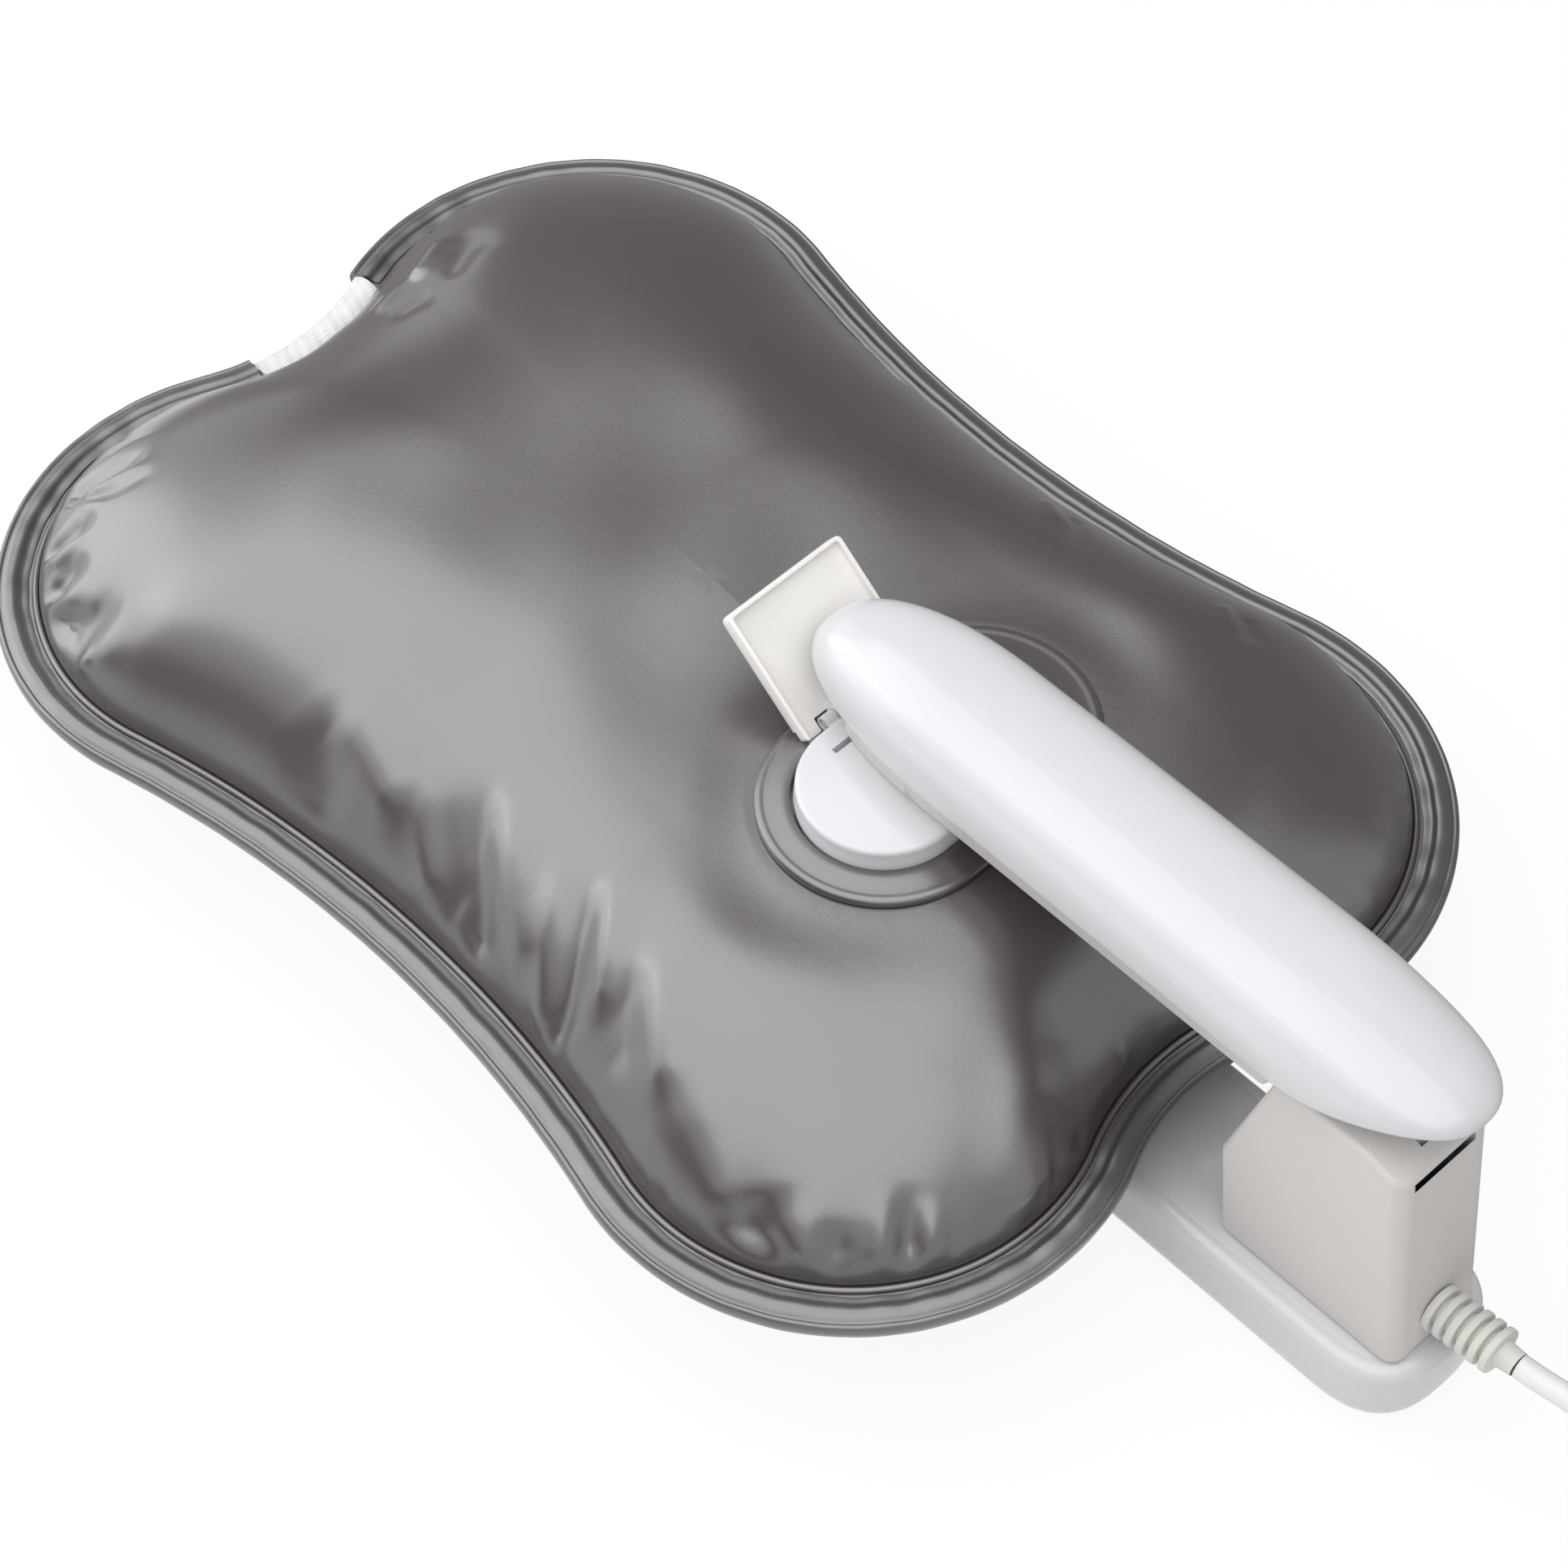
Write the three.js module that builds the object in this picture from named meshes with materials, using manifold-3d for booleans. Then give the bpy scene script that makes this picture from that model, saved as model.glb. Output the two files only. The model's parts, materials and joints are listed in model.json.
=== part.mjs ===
// An electric hot water bottle: a filled bag with a charging port, and the mains clip that heats it.
// Millimetres, +Z up. The table is z = 0 and the bag's long side runs along X, with the clip at its +X end.
import * as THREE from "three";
import { mergeVertices } from "three/addons/utils/BufferGeometryUtils.js";
import Module from "manifold-3d";

const wasm = await Module();
wasm.setup();

// Driving dimensions

const clearance = 0.3;
const overrun = 1;

const bag = {
  length: 290,
  width: 208,
  sideHollowShare: 0.1755,
  endHollowShare: 0.67,
  lobeRadius: 59,
  seamHeight: 35,
  crown: 38,
  skin: 1.2,
  rimWidth: 8,
  rimThickness: 5.2,
  rimFold: 1.5,
  rimBevel: 0.8,
  rimRoll: 3.4,
  rimGroove: 0.7,
  bladderInset: 3.2,
};

const label = { from: -9, to: 24, thickness: 4.2 };

const port = {
  radius: 17.1,
  lobeOffset: 13,
  height: 5.3,
  edgeRound: 1.1,
  baseLip: 0.5,
  baseLipHeight: 1,
  flangeRadius: 25,
  flangeThickness: 1.5,
  flangeLip: 0.8,
  flangeLipWidth: 2.2,
  seatMargin: 5,
  seatBlend: 18,
  neckRadius: 11.4,
  neckDepth: 11,
  gasketThickness: 1,
  backingRadius: 15.5,
  backingThickness: 1.6,
  slotWidth: 1.1,
  slotLength: 5.6,
  slotDepth: 1.4,
  slotSetback: 4.6,
};

const chamber = {
  length: 34,
  width: 62,
  depth: 28,
  wall: 1.8,
  ventRadius: 3,
  ventPitch: 14,
  ventHeight: 9.3,
};
const electrode = { radius: 3, length: 19, pitch: 36 };
const thermostat = { radius: 7, height: 7, flange: 1 };
const fuse = { radius: 1.8, length: 12 };

const lid = {
  width: 30.3,
  length: 28,
  thickness: 3.2,
  rim: 1.3,
  recess: 1.7,
  openAngle: 35,
  knuckleRadius: 1.9,
  knuckleWidth: 14,
  earWidth: 3,
  pinRadius: 0.9,
  setback: 2.1,
  drop: 2.4,
};

const plug = {
  blockLength: 17,
  blockWidth: 17,
  blockDepth: 3.9,
  play: 0.9,
  pinRadius: 2,
  pinLength: 8,
  pinPitch: 9.6,
  cupWall: 0.9,
  cupLength: 9,
};

const arm = {
  tipReach: 30.5,
  sternReach: 14.3,
  halfWidth: 17.2,
  height: 15.4,
  skirt: 8,
  wall: 2,
  frontCap: 40,
  rearCap: 45,
  sternRise: 7,
  sternRun: 34,
  bodyHalfWidth: 12.8,
  bodyFront: 14.5,
  floor: 2,
  rearStep: 4.7,
};

const clip = { throatGap: 18.7, reach: 90.2 };

const housing = {
  halfWidth: 12.5,
  wall: 2,
  edgeRound: 1.6,
  footSetback: 2.6,
  kneeHeight: 26,
  lean: 10,
  topLength: 31,
  rearFall: 3,
  rearFallLength: 9,
  rearLean: 5.7,
  deck: 1.8,
  frontPlate: 1.8,
  roofShare: 0.9,
};

const hinge = {
  depth: 7,
  setback: 9,
  pinRadius: 1.5,
  play: 0.2,
  barrelRadius: 5,
  lugHalfWidth: 2.8,
  lugHalfLength: 3.4,
};
const spring = { wireRadius: 0.6, turns: 4, steps: 8, sides: 5, gap: 0.3, leg: 2.4 };

const jaw = {
  frontReach: 22,
  rearOverhang: 7.4,
  halfWidth: 18.2,
  height: 20,
  bilge: 8,
  endBilge: 11,
  topRound: 3,
  topRoundShare: 0.3,
  shell: 2,
  deckThickness: 1.8,
  frontCap: 40,
  rearCap: 22,
};

const screw = { shank: 1.4, head: 2.7, clampHead: 2.2, headHeight: 1.8, post: 3.4 };
const jawScrewShares = [0.3, 0.62];

const microSwitch = {
  length: 13,
  width: 6.4,
  height: 12,
  plungerRadius: 1.5,
  stroke: 1.5,
  play: 0.3,
  setback: 13.1,
};
const terminal = { length: 12, width: 15, height: 9, pitch: 7.7 };
const clamp = { length: 6, width: 15, screwPitch: 10.6 };

const cord = { diameter: 5, exitHeight: 29 };
const relief = {
  length: 20,
  baseRadius: 6,
  tipRadius: 5.4,
  coreRadius: 4.3,
  ribs: 5,
  ribShare: 0.58,
  sides: 12,
  neckRadius: 3.6,
  neckLength: 6,
};
const coil = {
  meanRadius: 27.5,
  turnsPerLayer: 3,
  pitch: 5.5,
  lift: 1.1,
  steps: 24,
  sides: 6,
  centreX: 69.1,
  centreY: 60,
  climbTurns: 0.5,
};
const tie = { width: 6, thickness: 0.8, slack: 0.9 };
const mains = {
  tail: 22,
  length: 30,
  width: 24,
  bevel: 2,
  collar: 8,
  waist: 3.5,
  bladeLength: 17,
  bladeWidth: 6.3,
  bladeThickness: 1.5,
  bladePitch: 12.7,
};

const counts = {
  endArc: 3,
  lobeArc: 7,
  sideArc: 2,
  cap: 8,
  stadium: 8,
  round: 14,
  smallRound: 8,
  cord: 6,
  lead: 30,
};
const barRoundness = 2.4;
const weldDistance = 1e-4;
const least = 1e-6;

// Places worked out from the driving dimensions

const lobeX = bag.length / 2 - bag.lobeRadius;
const lobeY = bag.width / 2 - bag.lobeRadius;
const deepestHollow = (spacing) => spacing ** 2 / (2 * bag.lobeRadius);
const bagEnd = bag.length / 2 - bag.endHollowShare * deepestHollow(lobeY);
const bagWaist = bag.width / 2 - bag.sideHollowShare * deepestHollow(lobeX);
const housingFront = bagEnd + clip.throatGap;
const portX = housingFront - clip.reach;
const crownPower = 3.6;
const crownRoundness = 0.75;
const seatPower = 2.6;
const bellyPower = 4;
const bellyRoundness = 0.6;
const bagRingShares = [0.28, 0.5, 0.68, 0.82, 0.92, 0.975];

const swell = (share, power, roundness) => (1 - share ** power) ** roundness;
const portShare = portX / (bagEnd - bag.rimWidth);
const seatHeight = bag.seamHeight + bag.crown * swell(portShare, seatPower, crownRoundness);
const socketBase = seatHeight + clearance + port.gasketThickness + clearance;
const socketTop = socketBase + port.height;
const armBase = socketTop + clearance;
const coverRim = armBase + arm.skirt;
const armTip = portX - arm.tipReach;
const rearUnderside = armBase + arm.rearStep;
const housingBase = jaw.height + clearance;
const housingTop = rearUnderside - clearance;
const housingFoot = housingFront + housing.footSetback;
const housingCrownFront = housingFront + housing.lean;
const housingCrownRear = housingCrownFront + housing.topLength;
const housingRear = housingCrownRear + housing.rearLean;
const hingeX = housingCrownRear - hinge.setback;
const hingeZ = housingTop - hinge.depth;
const armRear = hingeX + arm.sternReach;
const rearHeight = housingTop - housing.rearFall - housingBase;
const reliefDrop = cord.exitHeight - relief.baseRadius - housingBase;
const reliefStart = housingRear - (housing.rearLean * reliefDrop) / rearHeight + clearance;
const reliefEnd = reliefStart + relief.length;
const jawFront = portX - jaw.frontReach;
const jawRear = housingRear + jaw.rearOverhang;
const cordRadius = cord.diameter / 2;

// Materials

const finish = (color, roughness, metalness = 0) =>
  new THREE.MeshStandardMaterial({ color, roughness, metalness });
const greyVinyl = finish("#77727a", 0.38);
const greyTape = finish("#5d5a60", 0.45);
const clearWater = finish("#9fb4c4", 0.2);
const whiteGloss = finish("#eeeef0", 0.18);
const whiteMatte = finish("#e3dfdd", 0.6);
const creamPlastic = finish("#e9e6df", 0.4);
const greyRubber = finish("#c9c7c0", 0.7);
const cordVinyl = finish("#e6e5e2", 0.5);
const brass = finish("#c9a85a", 0.3, 1);
const steel = finish("#a9abb0", 0.35, 1);
const graphite = finish("#3a3a3d", 0.6);
const innerPlastic = finish("#d6d2c4", 0.6);
const whiteWoven = finish("#e4e4e6", 0.7);

// Solids

function toSolid(geometry) {
  const bare = geometry.clone();
  bare.deleteAttribute("normal");
  bare.deleteAttribute("uv");
  const merged = mergeVertices(bare, weldDistance);
  return new wasm.Manifold(
    new wasm.Mesh({
      numProp: 3,
      vertProperties: new Float32Array(merged.attributes.position.array),
      triVerts: new Uint32Array(merged.index.array),
    }),
  );
}

function toGeometry(solid) {
  const mesh = solid.getMesh();
  const geometry = new THREE.BufferGeometry();
  geometry.setAttribute("position", new THREE.BufferAttribute(mesh.vertProperties, 3));
  geometry.setIndex(new THREE.BufferAttribute(mesh.triVerts, 1));
  geometry.computeVertexNormals();
  return geometry;
}

const join = (first, ...rest) => rest.reduce((whole, next) => whole.add(next), first);
const cut = (first, ...rest) => rest.reduce((whole, next) => whole.subtract(next), first);

// A closed surface through rings of points. A ring runs anticlockwise seen from above, or is one pole.
function loft(rings, closed = false) {
  const positions = rings.flat().flatMap((p) => [p.x, p.y, p.z]);
  const starts = [];
  let used = 0;
  for (const ring of rings) {
    starts.push(used);
    used += ring.length;
  }
  const index = [];
  const last = closed ? rings.length : rings.length - 1;
  for (let r = 0; r < last; r += 1) {
    const s = (r + 1) % rings.length;
    const lower = rings[r].length;
    const upper = rings[s].length;
    const count = Math.max(lower, upper);
    for (let i = 0; i < count; i += 1) {
      const j = (i + 1) % count;
      const a = starts[r] + (lower > 1 ? i : 0);
      const b = starts[r] + (lower > 1 ? j : 0);
      const c = starts[s] + (upper > 1 ? j : 0);
      const d = starts[s] + (upper > 1 ? i : 0);
      if (lower > 1) index.push(a, b, c);
      if (upper > 1) index.push(a, c, d);
    }
  }
  const geometry = new THREE.BufferGeometry();
  geometry.setAttribute("position", new THREE.Float32BufferAttribute(positions, 3));
  geometry.setIndex(index);
  return toSolid(geometry);
}

const level = (outline, z) => outline.map((p) => new THREE.Vector3(p.x, p.y, z));
const pole = (x, z) => [new THREE.Vector3(x, 0, z)];

// The space between two flat copies of an outline.
const prism = (outline, bottom, top) => {
  const middle = outline.reduce((sum, p) => sum + p.x, 0) / outline.length;
  return loft([pole(middle, bottom), level(outline, bottom), level(outline, top), pole(middle, top)]);
};

function block(x, y, z) {
  const geometry = new THREE.BoxGeometry(x[1] - x[0], y[1] - y[0], z[1] - z[0]);
  geometry.translate((x[0] + x[1]) / 2, (y[0] + y[1]) / 2, (z[0] + z[1]) / 2);
  return toSolid(geometry);
}

// A rod from one point along an axis, with its sides' count.
function rod(radius, length, axis, start, sides = counts.round) {
  const geometry = new THREE.CylinderGeometry(radius, radius, length, sides);
  geometry.translate(0, length / 2, 0);
  if (axis === "z") geometry.rotateX(Math.PI / 2);
  if (axis === "x") geometry.rotateZ(-Math.PI / 2);
  geometry.translate(start[0], start[1], start[2]);
  return toSolid(geometry);
}

// A side view in X and Z, drawn out across Y.
function sideProfile(points, halfWidth, bevel = 0) {
  const shape = new THREE.Shape(points.map(([x, z]) => new THREE.Vector2(x, z)));
  const geometry = new THREE.ExtrudeGeometry(shape, {
    depth: 2 * (halfWidth - bevel),
    bevelEnabled: bevel > 0,
    bevelThickness: bevel,
    bevelSize: bevel,
    bevelOffset: -bevel,
    bevelSegments: 2,
  });
  geometry.translate(0, 0, bevel - halfWidth);
  geometry.rotateX(Math.PI / 2);
  return toSolid(geometry);
}

// Outlines

const arc = (x, y, radius, from, to, steps) =>
  Array.from({ length: steps }, (_, i) => {
    const angle = from + ((to - from) * i) / steps;
    return new THREE.Vector2(x + radius * Math.cos(angle), y + radius * Math.sin(angle));
  });

function mirrorQuarter(quarter) {
  const flip = (points, sx, sy) => points.map((p) => new THREE.Vector2(sx * p.x, sy * p.y));
  const inner = quarter.slice(1, -1);
  return [
    ...quarter,
    ...flip([...inner].reverse(), -1, 1),
    ...flip(quarter, -1, -1).slice(0, 1),
    ...flip(inner, -1, -1),
    ...flip(quarter.slice(-1), 1, -1),
    ...flip([...inner].reverse(), 1, -1),
  ];
}

// The bag's outline: four round lobes, joined by hollow arcs at the waist and at the ends.
function bagOutline(inset) {
  const sideGap = bag.lobeRadius - bagWaist;
  const endGap = bag.lobeRadius - bagEnd;
  const lobeSquare = lobeX ** 2 + lobeY ** 2;
  const sideCentre = (lobeSquare - sideGap ** 2) / (2 * (sideGap + lobeY));
  const endCentre = (lobeSquare - endGap ** 2) / (2 * (endGap + lobeX));
  const sideRadius = sideCentre - bagWaist + inset;
  const endRadius = endCentre - bagEnd + inset;
  const endTurn = Math.atan2(lobeY, lobeX - endCentre);
  const sideTurn = Math.atan2(lobeY - sideCentre, lobeX);
  const quarter = [
    ...arc(endCentre, 0, endRadius, Math.PI, endTurn, counts.endArc),
    ...arc(lobeX, lobeY, bag.lobeRadius - inset, endTurn - Math.PI, sideTurn + Math.PI, counts.lobeArc),
    ...arc(0, sideCentre, sideRadius, sideTurn, -Math.PI / 2, counts.sideArc),
    new THREE.Vector2(0, sideCentre - sideRadius),
  ];
  return mirrorQuarter(quarter);
}

// A long bar with rounded ends of two lengths, as seen from above.
function barOutline(front, rear, halfWidth, frontCap, rearCap) {
  const half = [];
  for (const [end, cap, sign] of [[rear, rearCap, 1], [front, frontCap, -1]]) {
    const side = [];
    for (let i = 0; i < counts.cap; i += 1) {
      const angle = ((Math.PI / 2) * i) / (counts.cap - 1);
      const along = Math.cos(angle) ** (2 / barRoundness);
      const across = Math.sin(angle) ** (2 / barRoundness);
      side.push(new THREE.Vector2(end - sign * cap * (1 - along), halfWidth * across));
    }
    half.push(...(sign > 0 ? side : side.reverse()));
  }
  const other = half.slice(1, -1).map((p) => new THREE.Vector2(p.x, -p.y));
  return [...half, ...other.reverse()];
}

// Two half circles joined by straight sides: the port's outline.
function stadium(radius, x = portX, offset = port.lobeOffset) {
  const steps = counts.stadium;
  const rim = (centre, from) =>
    Array.from({ length: steps + 1 }, (_, i) => {
      const angle = from + (Math.PI * i) / steps;
      return new THREE.Vector2(x + radius * Math.cos(angle), centre + radius * Math.sin(angle));
    });
  return [...rim(offset, 0), ...rim(-offset, Math.PI)];
}

// The assembly

const assembly = new THREE.Group();
function place(name, solid, material) {
  const mesh = new THREE.Mesh(toGeometry(solid), material);
  mesh.name = name;
  assembly.add(mesh);
  return mesh;
}

// Jaw and its channel under the bag

const jawOutline = (sideInset, endInset) =>
  barOutline(
    jawFront + endInset,
    jawRear - endInset,
    jaw.halfWidth - sideInset,
    jaw.frontCap - endInset,
    jaw.rearCap - endInset,
  );
const channel = (spread) =>
  prism(jawOutline(-spread, -spread), -overrun, jaw.height + spread);

// The bag

const seam = bagOutline(bag.rimWidth);
const innerSeam = bagOutline(bag.rimWidth + bag.skin);
const tabEdge = bagOutline(bag.rimFold + clearance);
const scaled = (outline, share) => outline.map((p) => p.clone().multiplyScalar(share));
const crownAt = (share) => bag.crown * swell(share, crownPower, crownRoundness);
const bellyAt = (share) =>
  Math.min(bag.seamHeight, bag.crown * swell(share, bellyPower, bellyRoundness));
const ringsOf = (outline, height) =>
  bagRingShares.map((share) => level(scaled(outline, share), height(share)));
const halfGap = clearance / 2;

const fromPort = (x, y) => {
  const along = Math.max(0, Math.abs(y) - port.lobeOffset);
  return Math.hypot(x - portX, along) - port.flangeRadius - port.seatMargin;
};
const seated = (points, offset) =>
  points.map((p) => {
    const away = Math.min(1, Math.max(0, fromPort(p.x, p.y) / port.seatBlend));
    const eased = away * away * (3 - 2 * away);
    return p.clone().setZ(p.z * eased + (seatHeight - offset) * (1 - eased));
  });

function upperPanel() {
  const bottom = bag.seamHeight + halfGap;
  const outer = (share) => bag.seamHeight + Math.max(bag.skin + halfGap, crownAt(share));
  const inner = (share) => outer(share) - bag.skin;
  const outerRings = ringsOf(seam, outer).map((ring) => seated(ring, 0));
  const innerRings = ringsOf(innerSeam, inner).map((ring) => seated(ring, bag.skin));
  const skinSolid = loft([
    pole(0, bottom),
    level(tabEdge, bottom),
    level(tabEdge, bottom + bag.skin),
    level(seam, bottom + bag.skin),
    ...outerRings.reverse(),
    seated(pole(0, outer(0)), 0),
  ]);
  const hollow = loft([
    pole(0, bottom - overrun),
    level(innerSeam, bottom - overrun),
    ...innerRings.reverse(),
    seated(pole(0, inner(0)), bag.skin),
  ]);
  return cut(skinSolid, hollow);
}

function lowerPanel() {
  const top = bag.seamHeight - halfGap;
  const outer = (share) => Math.min(top - bag.skin, bag.seamHeight - bellyAt(share));
  const inner = (share) => outer(share) + bag.skin;
  const skinSolid = loft([
    pole(0, outer(0)),
    ...ringsOf(seam, outer),
    level(seam, top - bag.skin),
    level(tabEdge, top - bag.skin),
    level(tabEdge, top),
    pole(0, top),
  ]);
  const hollow = loft([
    pole(0, inner(0)),
    ...ringsOf(innerSeam, inner),
    level(innerSeam, top + overrun),
    pole(0, top + overrun),
  ]);
  return cut(skinSolid, channel(clearance), cut(hollow, channel(clearance + bag.skin)));
}

const panelTop = seatHeight;
const panelUnder = seatHeight - bag.skin;
const backingTop = panelUnder - 2 * clearance;
const chamberTop = backingTop - port.backingThickness - clearance;
const chamberBottom = chamberTop - chamber.depth;
const neckBottom = socketBase - port.neckDepth;

const flangeRoom = (from) =>
  prism(stadium(port.flangeRadius + clearance), from, panelTop + bag.crown);

function portPocket(spread) {
  const well = block(
    [portX - chamber.length / 2 - spread, portX + chamber.length / 2 + spread],
    [-chamber.width / 2 - spread, chamber.width / 2 + spread],
    [chamberBottom - spread, panelTop + overrun],
  );
  const ring = prism(stadium(port.backingRadius + spread), chamberTop, panelTop + overrun);
  return join(well, ring);
}

function waterBladder() {
  const shell = bag.skin + clearance;
  const equator = bagOutline(bag.rimWidth + bag.bladderInset);
  const topAt = (share) => bag.seamHeight + Math.max(clearance, crownAt(share) - shell);
  const bottomAt = (share) => bag.seamHeight - Math.max(clearance, bellyAt(share) - shell);
  const topRings = ringsOf(innerSeam, topAt).map((ring) => seated(ring, shell));
  const whole = loft([
    pole(0, bottomAt(0)),
    ...ringsOf(innerSeam, bottomAt),
    level(equator, bag.seamHeight),
    ...topRings.reverse(),
    seated(pole(0, topAt(0)), shell),
  ]);
  return cut(whole, channel(2 * clearance + bag.skin), portPocket(clearance), flangeRoom(panelUnder));
}

place(
  "bag_upper_panel",
  cut(
    upperPanel(),
    prism(stadium(port.neckRadius + clearance), panelUnder - overrun, panelTop + overrun),
    flangeRoom(panelTop),
  ),
  greyVinyl,
);
place("bag_lower_panel", lowerPanel(), greyVinyl);
place("water_bladder", waterBladder(), clearWater);

// The binding folds round the welded edge; its top has a roll outside, a groove and a flat ridge inside.
function bindingRing() {
  const half = bag.rimThickness / 2;
  const slot = bag.skin + 2 * clearance;
  const ridge = half - bag.rimBevel / 2;
  const section = [
    [bag.rimBevel, -half],
    [0, bag.rimBevel - half],
    [0, half - bag.rimBevel],
    [bag.rimBevel, half],
    [bag.rimRoll - bag.rimBevel, half],
    [bag.rimRoll, half - bag.rimGroove],
    [bag.rimRoll + bag.rimBevel, ridge],
    [bag.rimWidth, ridge - bag.rimBevel / 2],
    [bag.rimWidth, slot],
    [bag.rimFold, slot],
    [bag.rimFold, -slot],
    [bag.rimWidth, -slot],
    [bag.rimWidth, -half],
  ];
  return loft(
    section.map(([inset, height]) => level(bagOutline(inset), bag.seamHeight + height)),
    true,
  );
}

function labelStrip() {
  const half = label.thickness / 2;
  const slot = bag.skin + 2 * clearance;
  const section = [
    [bag.rimBevel, -half],
    [bag.rimBevel, half],
    [bag.rimWidth, half],
    [bag.rimWidth, slot],
    [bag.rimFold, slot],
    [bag.rimFold, -slot],
    [bag.rimWidth, -slot],
    [bag.rimWidth, -half],
  ];
  return loft(
    section.map(([inset, height]) => level(bagOutline(inset), bag.seamHeight + height)),
    true,
  );
}

const labelBox = (spread) =>
  block(
    [-bag.length / 2 - overrun, -bag.length / 4],
    [label.from - spread, label.to + spread],
    [bag.seamHeight - bag.rimThickness, bag.seamHeight + bag.rimThickness],
  );
place("edge_binding", cut(bindingRing(), labelBox(0)), greyTape);
place("edge_label", labelStrip().intersect(labelBox(-clearance)), whiteWoven);

// The charging port

const flangeBase = seatHeight + clearance;
const flangeTop = flangeBase + port.flangeThickness;
const flangeBore = port.radius + port.baseLip + clearance;
place(
  "port_flange",
  loft(
    [
      [port.flangeRadius, flangeBase],
      [port.flangeRadius, flangeTop],
      [port.flangeRadius - port.flangeLip, flangeTop + port.flangeLip],
      [port.flangeRadius - port.flangeLipWidth, flangeTop + port.flangeLip],
      [port.flangeRadius - port.flangeLipWidth - port.flangeLip, flangeTop],
      [flangeBore + port.flangeLip, flangeTop],
      [flangeBore, flangeTop - port.flangeLip],
      [flangeBore, flangeBase],
    ].map(([radius, height]) => level(stadium(radius), height)),
    true,
  ),
  greyVinyl,
);
place(
  "port_gasket",
  cut(
    prism(stadium(port.radius), flangeBase, flangeBase + port.gasketThickness),
    prism(stadium(port.neckRadius + clearance), panelTop, socketTop),
  ),
  greyRubber,
);
place(
  "port_backing_ring",
  cut(
    prism(stadium(port.backingRadius), backingTop - port.backingThickness, backingTop),
    prism(stadium(port.neckRadius + clearance), chamberTop, panelTop),
  ),
  innerPlastic,
);

const blockFloor = armBase - plug.blockDepth;
const cupRadius = plug.pinRadius + plug.play;
const cupOuter = cupRadius + plug.cupWall;
const pinSides = [-plug.pinPitch / 2, plug.pinPitch / 2];
const sideNames = ["left", "right"];
const cupTop = blockFloor - clearance - plug.play;
const cupBottom = cupTop - plug.cupLength;
const lidHingeX = portX - port.radius - lid.setback;
const lidHingeZ = socketTop - lid.drop;
const lidHalf = lid.knuckleWidth / 2;

function socketHousing() {
  const chamfer = port.edgeRound / 3;
  const disc = loft([
    pole(portX, neckBottom),
    level(stadium(port.neckRadius), neckBottom),
    level(stadium(port.neckRadius), socketBase),
    level(stadium(port.radius + port.baseLip), socketBase),
    level(stadium(port.radius + port.baseLip), socketBase + port.baseLipHeight),
    level(stadium(port.radius), socketBase + port.baseLipHeight + port.baseLip),
    level(stadium(port.radius), socketTop - port.edgeRound),
    level(stadium(port.radius - chamfer), socketTop - chamfer),
    level(stadium(port.radius - port.edgeRound), socketTop),
    pole(portX, socketTop),
  ]);
  const recess = block(
    [portX - plug.blockLength / 2 - plug.play, portX + plug.blockLength / 2 + plug.play],
    [-plug.blockWidth / 2 - plug.play, plug.blockWidth / 2 + plug.play],
    [blockFloor - plug.play, socketTop + overrun],
  );
  const wells = pinSides.map((y) =>
    rod(cupOuter + clearance, cupTop - neckBottom + 2 * overrun, "z", [portX, y, neckBottom - overrun]),
  );
  const ears = [-1, 1].map((side) => {
    const near = side * (lidHalf + clearance);
    const far = near + side * lid.earWidth;
    const span = [Math.min(near, far), Math.max(near, far)];
    const web = block(
      [lidHingeX, portX - port.radius / 2],
      span,
      [lidHingeZ - lid.knuckleRadius, lidHingeZ + lid.pinRadius],
    );
    const eye = rod(lid.knuckleRadius, lid.earWidth, "y", [lidHingeX, span[0], lidHingeZ]);
    return join(eye, web);
  });
  const bore = rod(
    lid.pinRadius + clearance,
    lid.knuckleWidth + 2 * lid.earWidth + 2 * overrun,
    "y",
    [lidHingeX, -lidHalf - lid.earWidth - overrun, lidHingeZ],
    counts.smallRound,
  );
  const slots = [-1, 1].map((side) => {
    const near = side * (port.lobeOffset - port.slotLength);
    const far = side * port.lobeOffset;
    const from = portX - port.radius + port.slotSetback;
    return block(
      [from, from + port.slotWidth],
      [Math.min(near, far), Math.max(near, far)],
      [socketTop - port.slotDepth, socketTop + overrun],
    );
  });
  return cut(join(disc, ...ears), recess, ...wells, bore, ...slots);
}
place("socket_housing", socketHousing(), whiteGloss);

pinSides.forEach((y, i) => {
  const cup = cut(
    rod(cupOuter, plug.cupLength, "z", [portX, y, cupBottom]),
    rod(cupRadius, plug.cupLength, "z", [portX, y, cupBottom + plug.cupWall]),
  );
  place("socket_contact_" + sideNames[i], cup, brass);
});

place(
  "lid_hinge_pin",
  rod(
    lid.pinRadius,
    lid.knuckleWidth + 2 * lid.earWidth,
    "y",
    [lidHingeX, -lidHalf - lid.earWidth, lidHingeZ],
    counts.smallRound,
  ),
  steel,
);

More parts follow.
